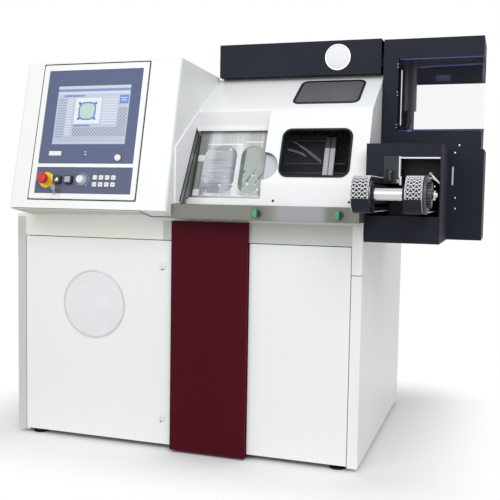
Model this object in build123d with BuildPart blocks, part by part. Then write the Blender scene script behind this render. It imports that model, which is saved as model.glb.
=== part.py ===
from build123d import *
from math import atan2, cos, degrees, hypot, pi, radians, sin
import os

os.makedirs("parts", exist_ok=True)

# Cabinet: width along X, depth along Y, height of its panels above the feet
cabinet_width = 1383
cabinet_depth = 1043
cabinet_height = 858
foot_gap = 15
deck_thickness = 12
sheet = 2
panel_gap = 3
front_depth = 24
panel_depth = 18
tube = 40
post_width = 36.5
fascia_height = 76
door_foot_gap = 6
door_depth = 20
centre_from = 674
centre_width = 296
centre_proud = 20
centre_drop = 5
lip = 14
upright_inset = 11
cross_tube_share = (0.1, 0.38)
upper_post_height = 172
upper_post_proud = 2

# Levelling feet
foot_radius = 30
foot_pad = 6
stem_radius = 8
foot_inset = 60

# Running clearances and overruns
fit = 0.3
shaft_fit = 0.05
overrun = 5

# Left door: pivot pins and quarter-turn locks
pin_radius = 3
pin_length = 14
pivot_inset = 6
bracket = 4
lock_inset = 41
lock_height_share = (0.124, 0.872)
lock_radius = 10
lock_head_radius = 14
lock_head = 3
lock_key_radius = 4
cam_length = 34
cam_width = 14
cam_thickness = 3
strike_width = 34
rib_width = 60
rib_depth = 12

# Control cabinet, standing behind the left door
cubicle_gap = 170
cubicle_depth = 260
cubicle_headroom = 218
cubicle_inset_x = 90
cubicle_inset_y = 220
cubicle_door = 16
duct_width = 40
duct_depth = 25

# Operator console: its front face leans back from the bottom edge
console_width = 647
console_reach = 147
console_foot_height = 27
console_face_top_reach = 13
console_face_top_height = 583
console_back_inset = 390
console_back_height = 564
console_wall = 3
console_round = 14

# Console face: places from its lower left corner, across and up the slope
bezel_from = 85
bezel_width = 439
bezel_low = 34.5
bezel_height = 523
bezel_thickness = 7
bezel_round = 8
panel_play = 0.8
monitor_from = 109
monitor_width = 394
monitor_low = 169.5
monitor_height = 364
face_plate = 4
screen_from = 155
screen_width = 304
screen_low = 244.5
screen_height = 228
screen_glass = 3
computer_margin = 14
computer_depth = 45
controls_from = 109
controls_width = 396
controls_low = 55.5
controls_height = 99
controls_rim = 14
control_line = 106
estop_across = 153
collar_radius = 30
collar_plate = 3
collar_hub_radius = 16
collar_hub = 14
mushroom_radius = 20
mushroom_height = 17
mushroom_stem = 8
mushroom_travel = 5
mushroom_rest = 2
mushroom_round_share = 0.45
key_switch_across = 203
lamp_across = 250
switch_size = 30
switch_height = 12
barrel_radius = 7
key_bow_width = 20
key_bow_height = 24
key_bow_thickness = 2.5
lamp_size = 21
lamp_rest = 3
lamp_travel = 3
lamp_height = lamp_travel + lamp_rest
knob_across = 304
knob_ring_radius = 20
knob_ring = 3
knob_radius = 14
knob_height = 20
knob_stem = 3
knob_rib = 3
keypad_across = 394.5
keypad_up = 103.5
key_pitch_x = 25
key_pitch_y = 26
key_columns = 4
key_rows = 2
key_size = 16.5
key_rest = 4.5
key_depth = 8
key_travel = 1.5
key_height = key_travel + key_rest

# Guard rail before the hood, and its two start buttons
rail_overhang = 2
rail_reach = 97
rail_height = 51
rail_wall = 2
rail_hood_gap = 1
button_places_share = (0.475, 0.8985)
button_radius = 14
button_cap = 9
button_stem = 6
button_travel = 4
button_bezel_radius = 17
button_bezel = 5

# Hood: a side profile that rises from the deck, leans back, and turns into a sloping roof
hood_side_inset = 3
hood_foot_inset = 22
hood_band_inset = 39
hood_band_height = 130
knee_inset = 150
knee_height = 404
knee_round = 60
roof_inset = 400
roof_height = 560
hood_back_inset = 900
cheek_thickness = 6
cheek_reach = 70
cheek_low = 53
cheek_edge_height = 256

# Door opening in the hood, its header and the half-round grip recess
opening_width = 287
sill_height = 75
header_height = 74
header_overlap = 3
grip_height = 195
grip_radius = 55
grip_depth = 22

# Sliding door, its guides and panes, all parallel to the leaning face
door_back = 45
sliding_thickness = 3
sliding_inset = 7
sliding_lap = 10
sliding_low = -46
sliding_tall = 296
sliding_travel = 270
guide_play = 1
guide_wall = 2.5
guide_lip = 12
leg_thickness = 3
window_low = -22
window_tall = 192
door_window_margin = 24
door_window_gap = 18
door_window_end = 22
small_window_width = 94
door_window_round = 42
pane_lap = 7
pane_thickness = 3

# Two windows with rubber seals, one in the leaning face and one in the roof
window_gap = 59
window_margin = 61
face_window_width = 262
face_window_low = 26
face_window_height = 193
face_window_round = 35
roof_window_shift = 8
roof_window_width = 255
roof_window_low = 50
roof_window_height = 200
roof_window_round = 30
seal_width = 8
seal_lip = 4
window_glass = 4

# Work chamber: liner, machine bed, spindles and folding cover
liner_front_inset = 190
liner_back_inset = 560
liner_top_gap = 4
bed_inset = 29
bed_leg_inset = 50
bed_width = 560
bed_front_inset = 240
bed_depth = 300
bed_height = 560
bed_wall = 20
bed_rib = 16
bed_pocket_columns = 3
bed_pocket_rows = 2
pedestal_margin = 20
pedestal_height = 60
head_width = 80
head_height = 150
head_bore_height = 80
spindle_radius = 35
chuck_radius = 55
chuck_length = 38
chuck_bore = 12
lens_radius = 35
lens_block = 12
lens_thickness = 9
slide_end_inset = 45
slide_width = 170
slide_travel = 130
way_width = 22
way_height = 10
nose_radius = 30
nose_length = 24
cutter_radius = 34
cutter_length = 16
pleat_inset = 249
pleat_pitch = 24
pleat_count = 17
pleat_depth = 12
pleat_wall = 1.5
pleat_low = 30
pleat_height = 470

# Gantry cover and loader tower
gantry_left_inset = 8
gantry_right_inset = 7
gantry_inset = 350
gantry_depth = 250
gantry_height = 130
tower_width = 367
tower_height = 414
tower_column = 57
tower_sill = 67
tower_beam = 72
back_column = 91
back_sill = 95
back_header = 140
guard_thickness = 4
guard_play = 2
guard_bar = 8
guard_pin_radius = 2.5
guard_pin_length = 14
beam_height = 50
beam_depth = 34
beam_drop = 18
beam_slot = 8
beam_slot_depth = 6
carriage_width = 44
carriage_depth = 30
carriage_from = 62
carriage_drop = 185
carriage_plate = 12
arm_width = 18
arm_depth = 22
arm_hold = 120
arm_low = 88
arm_travel = 180
arm_length = arm_travel + arm_hold
gripper_reach = 34
gripper_cup_radius = 15
gripper_cup = 16

# Loader boxes beside the cabinet
loader_reach = 379
lower_box_height = 338
lower_box_drop = 55
box_wall = 2
front_box_gap = 3
front_box_width = 252
front_box_inset = 5
apron_height = 92
mouth_height = 136
notch_height = 66
notch_width = 136
mouth_margin = 4
slot_width = 5
slot_height = 68
slot_inset = 12
slot_low = 204

# Conveyor end: two modular belts over a driven shaft
nose_reach = 240
axis_height = 165
belt_radius = 56
belt_thickness = 14
belt_left_inset = 5
belt_left_width = 55
belt_right_inset = 170
belt_right_width = 52
belt_pitch = 25
groove_depth = 3
groove_width = 5
belt_run = 670
conveyor_tube_radius = 19.5
journal_radius = 10
arm_plate = 8
arm_plate_half = 30
arm_gap = 3
bed_plate = 6
guide_radius = 60
guide_disc = 9
pulley_radius = 40
pulley_width = 12
pulley_teeth = 24
tooth_depth = 4
hub_radius = 16
hub_length = 6
pedestal_from_share = 0.35
pedestal_length = 170
guard_shell = 2
guard_gap = 2
guard_angle_from = 195
guard_angle = 75

# Rear panel: two fields of cooling slots and the cable entry
vent_rows = 12
vent_length = 180
vent_height = 8
vent_pitch = 24
vent_low_share = 0.25
vent_across_share = 0.26
entry_radius = 25
entry_height_share = 0.1

# Places that the sizes above lead to, in the part's own frame
left = -(cabinet_width + loader_reach) / 2
right = left + cabinet_width
front = (nose_reach + guide_radius - cabinet_depth) / 2
back = front + cabinet_depth
base = foot_gap
cabinet_top = base + cabinet_height
deck_top = cabinet_top + deck_thickness
centre_left = left + centre_from
centre_right = centre_left + centre_width
frame_left = left + panel_depth
frame_right = right - panel_depth
frame_front = front + front_depth
frame_back = back - panel_depth
frame_width = frame_right - frame_left
frame_depth = frame_back - frame_front
door_height = cabinet_height - fascia_height
door_left = left + post_width + panel_gap
door_right = centre_left - panel_gap
door_low = base + door_foot_gap
door_top = base + door_height
upright_left = centre_left + upright_inset
upright_right = centre_right - upright_inset - tube
strip_front = front + door_depth + fit
strip_back = frame_front - fit
hood_width = opening_width + window_gap + face_window_width + window_margin
hood_right = right - hood_side_inset
hood_left = hood_right - hood_width
hood_from = hood_left - left
console_left = hood_left - cheek_thickness - console_width
bed_left = hood_left + bed_inset
bed_right = bed_left + bed_width
bed_front = front + bed_front_inset
bed_back = bed_front + bed_depth
leg_places = (bed_left + bed_leg_inset, bed_right - bed_leg_inset - tube)


def block(x_from, x_to, y_from, y_to, z_from, z_to, mode=Mode.ADD):
    # An upright box between two corners, joined to or cut from the part being built
    middle = ((x_from + x_to) / 2, (y_from + y_to) / 2, (z_from + z_to) / 2)
    with Locations(middle):
        Box(x_to - x_from, y_to - y_from, z_to - z_from, mode=mode)


def tray(x_from, x_to, z_from, z_to, face_y, depth, wall):
    # A folded front sheet, open at its back, whose face stands at face_y
    block(x_from, x_to, face_y, face_y + depth, z_from, z_to)
    block(
        x_from + wall, x_to - wall, face_y + wall, face_y + depth + overrun,
        z_from + wall, z_to - wall, mode=Mode.SUBTRACT,
    )


def dome_radius(rim, rise):
    # The ball radius of a dome with this rim radius and this rise
    return (rim**2 + rise**2) / (2 * rise)


# Base frame: welded square tube
with BuildPart() as base_frame:
    for ring_low in (base, cabinet_top - tube):
        with BuildSketch(Plane.XY.offset(ring_low)):
            with Locations(((frame_left + frame_right) / 2, (frame_front + frame_back) / 2)):
                Rectangle(frame_width, frame_depth)
                Rectangle(frame_width - 2 * tube, frame_depth - 2 * tube, mode=Mode.SUBTRACT)
        extrude(amount=tube)
    for post_x in (frame_left, upright_left, upright_right, frame_right - tube):
        for post_y in (frame_front, frame_back - tube):
            block(post_x, post_x + tube, post_y, post_y + tube, base, cabinet_top)
    cubicle_places = [frame_left + share * (frame_width - tube) for share in cross_tube_share]
    for cross_x in (*cubicle_places, *leg_places):
        block(cross_x, cross_x + tube, frame_front, frame_back, base, base + tube)
base_frame.part.label = "base_frame"
export_step(base_frame.part, "parts/base_frame.step")

# Levelling feet: round pads on threaded stems under the frame
foot_places = [
    (x, y)
    for x in (frame_left + foot_inset, (upright_left + upright_right + tube) / 2, frame_right - foot_inset)
    for y in (frame_front + tube / 2, frame_back - tube / 2)
]
with BuildPart() as levelling_feet:
    with Locations([(x, y, 0) for x, y in foot_places]):
        Cylinder(foot_radius, foot_pad, align=(Align.CENTER, Align.CENTER, Align.MIN))
        Cylinder(stem_radius, foot_gap, align=(Align.CENTER, Align.CENTER, Align.MIN))
    chamfer(levelling_feet.edges().filter_by(GeomType.CIRCLE).group_by(Axis.Z)[-2], foot_pad / 4)
levelling_feet.part.label = "levelling_feet"
export_step(levelling_feet.part, "parts/levelling_feet.step")

# Side panels: folded trays that close the cabinet's two ends
with BuildPart() as side_panels:
    for face_x, inner_x in ((left, left + panel_depth), (right, right - panel_depth)):
        wall_x = face_x + (sheet if inner_x > face_x else -sheet)
        block(min(face_x, inner_x), max(face_x, inner_x), frame_front, back, base, cabinet_top)
        block(
            min(wall_x, inner_x + (wall_x - face_x)), max(wall_x, inner_x + (wall_x - face_x)),
            frame_front + sheet, back - sheet, base + sheet, cabinet_top - sheet, mode=Mode.SUBTRACT,
        )
side_panels.part.label = "side_panels"
export_step(side_panels.part, "parts/side_panels.step")

# Rear panel with cooling slots and the round cable entry
with BuildPart() as rear_panel:
    block(frame_left, frame_right, frame_back, back, base, cabinet_top)
    block(
        frame_left + sheet, frame_right - sheet, frame_back - overrun, back - sheet,
        base + sheet, cabinet_top - sheet, mode=Mode.SUBTRACT,
    )
    with BuildSketch(Plane.XZ.offset(-back)):
        vent_middle = base + vent_low_share * cabinet_height + vent_rows * vent_pitch / 2
        for side in (-1, 1):
            vent_x = (frame_left + frame_right) / 2 + side * vent_across_share * frame_width
            with Locations((vent_x, vent_middle)):
                with GridLocations(vent_length + vent_pitch, vent_pitch, 1, vent_rows):
                    SlotOverall(vent_length, vent_height)
        with Locations(((frame_left + frame_right) / 2, base + entry_height_share * cabinet_height)):
            Circle(entry_radius)
    extrude(amount=panel_depth + sheet, mode=Mode.SUBTRACT)
rear_panel.part.label = "rear_panel"
export_step(rear_panel.part, "parts/rear_panel.step")

# Deck: the plate that closes the cabinet and carries console and hood
pedestal_left = bed_left + pedestal_margin
pedestal_right = bed_right - pedestal_margin
pedestal_front = bed_front + pedestal_margin
pedestal_back = bed_back - pedestal_margin
with BuildPart() as top_deck:
    block(left, right, front, back, cabinet_top, deck_top)
    block(
        pedestal_left - panel_gap, pedestal_right + panel_gap, pedestal_front - panel_gap,
        pedestal_back + panel_gap, cabinet_top - overrun, deck_top + overrun, mode=Mode.SUBTRACT,
    )
top_deck.part.label = "top_deck"
export_step(top_deck.part, "parts/top_deck.step")

# Front posts: folded corner sheets; the left one carries the door's two pivot pins, and the stop
# strips between them back the centre panel's lips and hold the lock cams
pivot_x = door_left + pivot_inset
pivot_y = front + pivot_inset
upper_post_low = cabinet_top - upper_post_height
with BuildPart() as front_posts:
    tray(left, left + post_width, base, cabinet_top, front, front_depth, sheet)
    tray(right - post_width, right, base, upper_post_low - panel_gap, front, front_depth, sheet)
    tray(
        right - post_width, right, upper_post_low, cabinet_top,
        front - upper_post_proud, front_depth + upper_post_proud, sheet,
    )
    block(
        left + post_width - sheet, pivot_x + pivot_inset, front + sheet, front + door_depth,
        base, base + bracket,
    )
    block(
        left + post_width - sheet, pivot_x + pivot_inset, front + sheet, front + door_depth,
        door_top + bracket, door_top + 2 * bracket,
    )
    with Locations((pivot_x, pivot_y, base)):
        Cylinder(pin_radius, pin_length, align=(Align.CENTER, Align.CENTER, Align.MIN))
    with Locations((pivot_x, pivot_y, door_top + 2 * bracket)):
        Cylinder(pin_radius, pin_length, align=(Align.CENTER, Align.CENTER, Align.MAX))
    for strip_from, strip_to in (
        (upright_left - strike_width, upright_left + tube), (upright_right, upright_right + tube),
    ):
        block(strip_from, strip_to, strip_front, strip_back, base + tube + lip, door_top - panel_gap)
front_posts.part.label = "front_posts"
export_step(front_posts.part, "parts/front_posts.step")

# Fascias above the left door and above the right front panel
fascia_low = door_top + panel_gap
with BuildPart() as front_fascias:
    tray(
        left + post_width, centre_left, fascia_low, cabinet_top, front, front_depth, sheet,
    )
    block(
        left + post_width - overrun, pivot_x + 2 * pivot_inset, front + sheet,
        frame_front + overrun, fascia_low - overrun, door_top + 3 * bracket, mode=Mode.SUBTRACT,
    )
    tray(
        centre_right, right - post_width, fascia_low, cabinet_top, front, front_depth, sheet,
    )
front_fascias.part.label = "front_fascias"
export_step(front_fascias.part, "parts/front_fascias.step")

# Raised centre panel: a deep tray with lips that lie on the frame's uprights
with BuildPart() as centre_panel:
    with BuildSketch(Plane.XY.offset(base - centre_drop)):
        with BuildLine():
            Polyline(
                (centre_left, strip_front), (centre_left, front - centre_proud),
                (centre_right, front - centre_proud), (centre_right, strip_front),
                (centre_right - lip - sheet, strip_front),
                (centre_right - lip - sheet, strip_front - sheet),
                (centre_right - sheet, strip_front - sheet),
                (centre_right - sheet, front - centre_proud + sheet),
                (centre_left + sheet, front - centre_proud + sheet),
                (centre_left + sheet, strip_front - sheet),
                (centre_left + lip + sheet, strip_front - sheet), (centre_left + lip + sheet, strip_front),
                close=True,
            )
        make_face()
    extrude(amount=cabinet_height + centre_drop)
centre_panel.part.label = "centre_panel"
export_step(centre_panel.part, "parts/centre_panel.step")

# Right front panel: lifts off, and has no hinge
with BuildPart() as right_front_panel:
    tray(
        centre_right + panel_gap, right - post_width - panel_gap, door_low, door_top,
        front, front_depth, sheet,
    )
right_front_panel.part.label = "right_front_panel"
export_step(right_front_panel.part, "parts/right_front_panel.step")

# Left door: a folded tray with a stiffening channel, pivot holes and two lock holes
lock_x = door_right - lock_inset
lock_heights = [door_top - share * (door_top - door_low) for share in lock_height_share]
with BuildPart() as left_door:
    tray(door_left, door_right, door_low, door_top, front, door_depth, sheet)
    rib_x = (door_left + door_right) / 2
    block(
        rib_x - rib_width / 2, rib_x + rib_width / 2, front + sheet, front + sheet + rib_depth,
        door_low + sheet, door_top - sheet,
    )
    block(
        rib_x - rib_width / 2 + sheet, rib_x + rib_width / 2 - sheet, front + sheet,
        front + rib_depth, door_low + sheet, door_top - sheet, mode=Mode.SUBTRACT,
    )
    with Locations((pivot_x, pivot_y, (door_low + door_top) / 2)):
        Cylinder(pin_radius + fit, 2 * door_height, mode=Mode.SUBTRACT)
    with BuildSketch(Plane.XZ.offset(-front)):
        with Locations([(lock_x, z) for z in lock_heights]):
            Circle(lock_radius + fit)
    extrude(amount=-overrun, mode=Mode.SUBTRACT)
left_door.part.label = "left_door"
export_step(left_door.part, "parts/left_door.step")

# Quarter-turn locks: a head, a barrel and a cam that hangs down and turns behind the stop strip
cam_front = frame_front + fit + fit
for lock_name, lock_z in zip(("upper_lock", "lower_lock"), lock_heights):
    with BuildPart() as lock:
        with BuildSketch(Plane.XZ.offset(-front)):
            with Locations((lock_x, lock_z)):
                Circle(lock_head_radius)
        extrude(amount=lock_head)
        fillet(lock.faces().sort_by(Axis.Y)[0].edges(), lock_head / 3)
        with BuildSketch(Plane.XZ.offset(-front)):
            with Locations((lock_x, lock_z)):
                Circle(lock_radius)
        extrude(amount=-(cam_front + cam_thickness - front))
        with BuildSketch(Plane.XZ.offset(lock_head - front)):
            with Locations((lock_x, lock_z)):
                RegularPolygon(lock_key_radius, 3)
        extrude(amount=-lock_head, mode=Mode.SUBTRACT)
        with BuildSketch(Plane.XZ.offset(-cam_front)):
            with Locations((lock_x, lock_z - cam_length / 2)):
                SlotOverall(cam_length + cam_width, cam_width, rotation=90)
        extrude(amount=-cam_thickness)
    lock.part.label = lock_name
    export_step(lock.part, f"parts/{lock_name}.step")

# Control cabinet: a hollow cubicle with its own door and a cable duct on top
cubicle_left = left + cubicle_inset_x
cubicle_front = front + cubicle_inset_y
cubicle_low = base + tube
cubicle_width = bed_left - cubicle_gap - cubicle_left
cubicle_height = cabinet_height - cubicle_headroom
with BuildPart() as control_cabinet:
    block(
        cubicle_left, cubicle_left + cubicle_width, cubicle_front,
        cubicle_front + cubicle_depth, cubicle_low, cubicle_low + cubicle_height,
    )
    fillet(control_cabinet.edges().filter_by(Axis.Z), sheet)
    block(
        cubicle_left + sheet, cubicle_left + cubicle_width - sheet, cubicle_front + sheet,
        cubicle_front + cubicle_depth - sheet, cubicle_low + sheet, cubicle_low + cubicle_height - sheet,
        mode=Mode.SUBTRACT,
    )
    block(
        cubicle_left + 2 * duct_width, cubicle_left + cubicle_width - 2 * duct_width,
        cubicle_front + 3 * duct_depth, cubicle_front + 4 * duct_depth,
        cubicle_low + cubicle_height - 2 * sheet, cubicle_low + cubicle_height + overrun,
        mode=Mode.SUBTRACT,
    )
    block(
        cubicle_left + lip, cubicle_left + cubicle_width - lip, cubicle_front - cubicle_door,
        cubicle_front, cubicle_low + lip, cubicle_low + cubicle_height - lip,
    )
    block(
        cubicle_left + lip, cubicle_left + cubicle_width - lip, cubicle_front + duct_depth,
        cubicle_front + 2 * duct_depth, cubicle_low + cubicle_height,
        cubicle_low + cubicle_height + duct_width,
    )
control_cabinet.part.label = "control_cabinet"
export_step(control_cabinet.part, "parts/control_cabinet.step")

# Console housing: the side profile, hollowed, with cut-outs behind screen and controls
face_low = (front - console_reach, deck_top + console_foot_height)
face_high = (front - console_face_top_reach, deck_top + console_face_top_height)
face_lean = atan2(face_high[0] - face_low[0], face_high[1] - face_low[1])
console_plane = Plane(
    origin=(console_left, face_low[0], face_low[1]),
    x_dir=(1, 0, 0),
    z_dir=(0, -cos(face_lean), sin(face_lean)),
)


def face_rectangle(from_x, width, low, height):
    # A rectangle on the console face, placed from the face's lower left corner
    with Locations((from_x + width / 2, low + height / 2)):
        Rectangle(width, height)


with BuildPart() as console_housing:
    with BuildSketch(Plane.YZ.offset(console_left)):
        with BuildLine():
            Polyline(
                (front, deck_top), face_low, face_high,
                (front + console_back_inset, deck_top + console_back_height),
                (front + console_back_inset, deck_top),
                close=True,
            )
        make_face()
    extrude(amount=console_width)
    outer_edges = console_housing.edges().filter_by(Axis.X).sort_by(Axis.Z)[-2:]
    face_side_edges = console_housing.faces().sort_by(Axis.Y)[0].edges().filter_by(Axis.X, reverse=True)
    fillet(outer_edges + face_side_edges, console_round)
    offset(
        amount=-console_wall,
        openings=console_housing.faces().sort_by(Axis.Z)[0],
    )
    with BuildSketch(console_plane.offset(overrun)):
        face_rectangle(
            screen_from - computer_margin, screen_width + 2 * computer_margin,
            screen_low - computer_margin, screen_height + 2 * computer_margin,
        )
        face_rectangle(
            controls_from + controls_rim, controls_width - 2 * controls_rim,
            controls_low + controls_rim, controls_height - 2 * controls_rim,
        )
    extrude(amount=-2 * overrun - console_wall, mode=Mode.SUBTRACT)
console_housing.part.label = "console_housing"
export_step(console_housing.part, "parts/console_housing.step")

# Console bezel: a raised frame with one opening for each panel
with BuildPart() as console_bezel:
    with BuildSketch(console_plane):
        with Locations((bezel_from + bezel_width / 2, bezel_low + bezel_height / 2)):
            RectangleRounded(bezel_width, bezel_height, bezel_round)
    extrude(amount=bezel_thickness)
    with BuildSketch(console_plane):
        face_rectangle(
            monitor_from - panel_play, monitor_width + 2 * panel_play,
            monitor_low - panel_play, monitor_height + 2 * panel_play,
        )
        face_rectangle(
            controls_from - panel_play, controls_width + 2 * panel_play,
            controls_low - panel_play, controls_height + 2 * panel_play,
        )
    extrude(amount=bezel_thickness, mode=Mode.SUBTRACT)
    rim_face = console_bezel.faces().filter_by(Axis(origin=(0, 0, 0), direction=console_plane.z_dir))
    chamfer(rim_face.sort_by(Axis.Y)[0].outer_wire().edges(), bezel_thickness / 4)
console_bezel.part.label = "console_bezel"
export_step(console_bezel.part, "parts/console_bezel.step")

# Monitor panel, with the cut-out for the screen
with BuildPart() as monitor_panel:
    with BuildSketch(console_plane):
        face_rectangle(monitor_from, monitor_width, monitor_low, monitor_height)
    extrude(amount=face_plate)
    with BuildSketch(console_plane):
        face_rectangle(screen_from, screen_width, screen_low, screen_height)
    extrude(amount=face_plate, mode=Mode.SUBTRACT)
monitor_panel.part.label = "monitor_panel"
export_step(monitor_panel.part, "parts/monitor_panel.step")

# Touch screen: the glass, and the computer body behind it inside the console
with BuildPart() as touch_screen:
    with BuildSketch(console_plane):
        face_rectangle(
            screen_from + fit, screen_width - 2 * fit, screen_low + fit, screen_height - 2 * fit,
        )
    extrude(amount=screen_glass)
    with BuildSketch(console_plane):
        face_rectangle(
            screen_from - computer_margin + fit, screen_width + 2 * (computer_margin - fit),
            screen_low - computer_margin + fit, screen_height + 2 * (computer_margin - fit),
        )
    extrude(amount=-computer_depth)
touch_screen.part.label = "touch_screen"
export_step(touch_screen.part, "parts/touch_screen.step")

# Control panel, with holes for every switch and key
key_places = [
    (
        keypad_across + (column - (key_columns - 1) / 2) * key_pitch_x,
        keypad_up + ((key_rows - 1) / 2 - row) * key_pitch_y,
    )
    for row in range(key_rows)
    for column in range(key_columns)
]
with BuildPart() as control_panel:
    with BuildSketch(console_plane):
        face_rectangle(controls_from, controls_width, controls_low, controls_height)
    extrude(amount=face_plate)
    with BuildSketch(console_plane):
        with Locations((estop_across, control_line)):
            Circle(mushroom_stem + fit)
        with Locations((key_switch_across, control_line)):
            Circle(barrel_radius + fit)
        with Locations((lamp_across, control_line)):
            Rectangle(lamp_size + 2 * fit, lamp_size + 2 * fit)
        with Locations((knob_across, control_line)):
            Circle(knob_stem + fit)
        with Locations(key_places):
            Rectangle(key_size + 2 * fit, key_size + 2 * fit)
    extrude(amount=face_plate, mode=Mode.SUBTRACT)
control_panel.part.label = "control_panel"
export_step(control_panel.part, "parts/control_panel.step")

# Emergency stop: a collar on the panel and a mushroom button that slides in it
panel_face = console_plane.offset(face_plate)
with BuildPart() as estop_collar:
    with BuildSketch(panel_face):
        with Locations((estop_across, control_line)):
            Circle(collar_radius)
    extrude(amount=collar_plate)
    chamfer(estop_collar.edges().filter_by(GeomType.CIRCLE).sort_by(Axis.Y)[0], collar_plate / 3)
    with BuildSketch(panel_face.offset(collar_plate)):
        with Locations((estop_across, control_line)):
            Circle(collar_hub_radius)
    extrude(amount=collar_hub)
    with BuildSketch(panel_face):
        with Locations((estop_across, control_line)):
            Circle(mushroom_stem + shaft_fit)
    extrude(amount=collar_plate + collar_hub, mode=Mode.SUBTRACT)
estop_collar.part.label = "estop_collar"
export_step(estop_collar.part, "parts/estop_collar.step")

mushroom_low = collar_plate + collar_hub + mushroom_travel + mushroom_rest
with BuildPart() as estop_button:
    with BuildSketch(panel_face.offset(mushroom_low)):
        with Locations((estop_across, control_line)):
            Circle(mushroom_radius)
    extrude(amount=mushroom_height)
    rim = estop_button.edges().filter_by(GeomType.CIRCLE)
    fillet(rim.sort_by(Axis.Y)[0], mushroom_round_share * mushroom_height)
    with BuildSketch(panel_face.offset(-face_plate)):
        with Locations((estop_across, control_line)):
            Circle(mushroom_stem)
    extrude(amount=face_plate + mushroom_low)
estop_button.part.label = "estop_button"
export_step(estop_button.part, "parts/estop_button.step")

# Switch bodies: two square housings and the ring under the override knob
with BuildPart() as switch_bodies:
    with BuildSketch(panel_face):
        with Locations((key_switch_across, control_line), (lamp_across, control_line)):
            RectangleRounded(switch_size, switch_size, switch_height / 4)
    extrude(amount=switch_height)
    with BuildSketch(panel_face):
        with Locations((knob_across, control_line)):
            Circle(knob_ring_radius)
    extrude(amount=knob_ring)
    with BuildSketch(panel_face):
        with Locations((key_switch_across, control_line)):
            Circle(barrel_radius + shaft_fit)
        with Locations((lamp_across, control_line)):
            Rectangle(lamp_size + 2 * fit, lamp_size + 2 * fit)
        with Locations((knob_across, control_line)):
            Circle(knob_stem + fit)
    extrude(amount=switch_height, mode=Mode.SUBTRACT)
switch_bodies.part.label = "switch_bodies"
export_step(switch_bodies.part, "parts/switch_bodies.step")

# Key switch barrel with its key in place
with BuildPart() as key_barrel:
    with BuildSketch(panel_face.offset(-face_plate)):
        with Locations((key_switch_across, control_line)):
            Circle(barrel_radius)
    extrude(amount=face_plate + switch_height + fit)
    with BuildSketch(panel_face.offset(switch_height)):
        with Locations((key_switch_across, control_line)):
            Rectangle(key_bow_thickness, barrel_radius)
    extrude(amount=key_bow_height / 2)
    with BuildSketch(panel_face.offset(switch_height + key_bow_height / 2)):
        with Locations((key_switch_across, control_line)):
            Rectangle(key_bow_thickness, key_bow_width)
    extrude(amount=key_bow_height / 2 + barrel_radius)
key_barrel.part.label = "key_barrel"
export_step(key_barrel.part, "parts/key_barrel.step")

# Lighted push button, square, in its housing
with BuildPart() as lamp_button:
    with BuildSketch(panel_face.offset(-face_plate)):
        with Locations((lamp_across, control_line)):
            Rectangle(lamp_size, lamp_size)
    extrude(amount=face_plate + switch_height + lamp_height)
    fillet(
        lamp_button.faces().sort_by(Axis.Y)[0].edges(), lamp_height / 4,
    )
lamp_button.part.label = "lamp_button"
export_step(lamp_button.part, "parts/lamp_button.step")

# Override knob with its pointer rib, on a stem through the ring
with BuildPart() as override_knob:
    with BuildSketch(panel_face.offset(knob_ring + fit)):
        with Locations((knob_across, control_line)):
            Circle(knob_radius)
    extrude(amount=knob_height)
    fillet(override_knob.edges().filter_by(GeomType.CIRCLE).sort_by(Axis.Y)[0], knob_rib / 2)
    with BuildSketch(panel_face.offset(knob_ring + fit + knob_height)):
        with Locations((knob_across, control_line)):
            Rectangle(knob_rib, 2 * (knob_radius - knob_rib))
    extrude(amount=knob_rib)
    with BuildSketch(panel_face.offset(-face_plate)):
        with Locations((knob_across, control_line)):
            Circle(knob_stem)
    extrude(amount=face_plate + knob_ring + fit)
override_knob.part.label = "override_knob"
export_step(override_knob.part, "parts/override_knob.step")

# Eight square keys in two rows, each sliding in its own hole
for key_number, key_place in enumerate(key_places, start=1):
    with BuildPart() as key:
        with BuildSketch(console_plane.offset(-key_depth)):
            with Locations(key_place):
                RectangleRounded(key_size, key_size, key_height / 3)
        extrude(amount=key_depth + face_plate + key_height)
        fillet(key.faces().sort_by(Axis.Y)[0].edges(), key_height / 5)
    key.part.label = f"key_{key_number}"
    export_step(key.part, f"parts/key_{key_number}.step")

# Guard rail: a box section before the hood, with two raised button bezels
rail_left = hood_left - cheek_thickness
rail_right = right + rail_overhang
rail_length = rail_right - rail_left
rail_front = front - rail_reach
rail_back = front + hood_foot_inset - rail_hood_gap
rail_top = deck_top + rail_height
button_z = deck_top + rail_height / 2
button_places = [rail_left + share * rail_length for share in button_places_share]
with BuildPart() as guard_rail:
    with BuildSketch(Plane.YZ.offset(rail_left)):
        with Locations(((rail_front + rail_back) / 2, (deck_top + rail_top) / 2)):
            RectangleRounded(rail_back - rail_front, rail_height, rail_wall)
            Rectangle(rail_back - rail_front - 2 * rail_wall, rail_height - 2 * rail_wall, mode=Mode.SUBTRACT)
    extrude(amount=rail_length)
    for cap_x in (rail_left, rail_right - rail_wall):
        block(
            cap_x, cap_x + rail_wall, rail_front + rail_wall, rail_back - rail_wall,
            deck_top + rail_wall, rail_top - rail_wall,
        )
    with BuildSketch(Plane.XZ.offset(-rail_front)):
        with Locations([(x, button_z) for x in button_places]):
            Circle(button_bezel_radius)
            Circle(button_radius + fit, mode=Mode.SUBTRACT)
    extrude(amount=button_bezel)
    with BuildSketch(Plane.XZ.offset(-rail_front)):
        with Locations([(x, button_z) for x in button_places]):
            Circle(button_stem + fit)
    extrude(amount=-2 * rail_wall, mode=Mode.SUBTRACT)
guard_rail.part.label = "guard_rail"
export_step(guard_rail.part, "parts/guard_rail.step")

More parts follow.
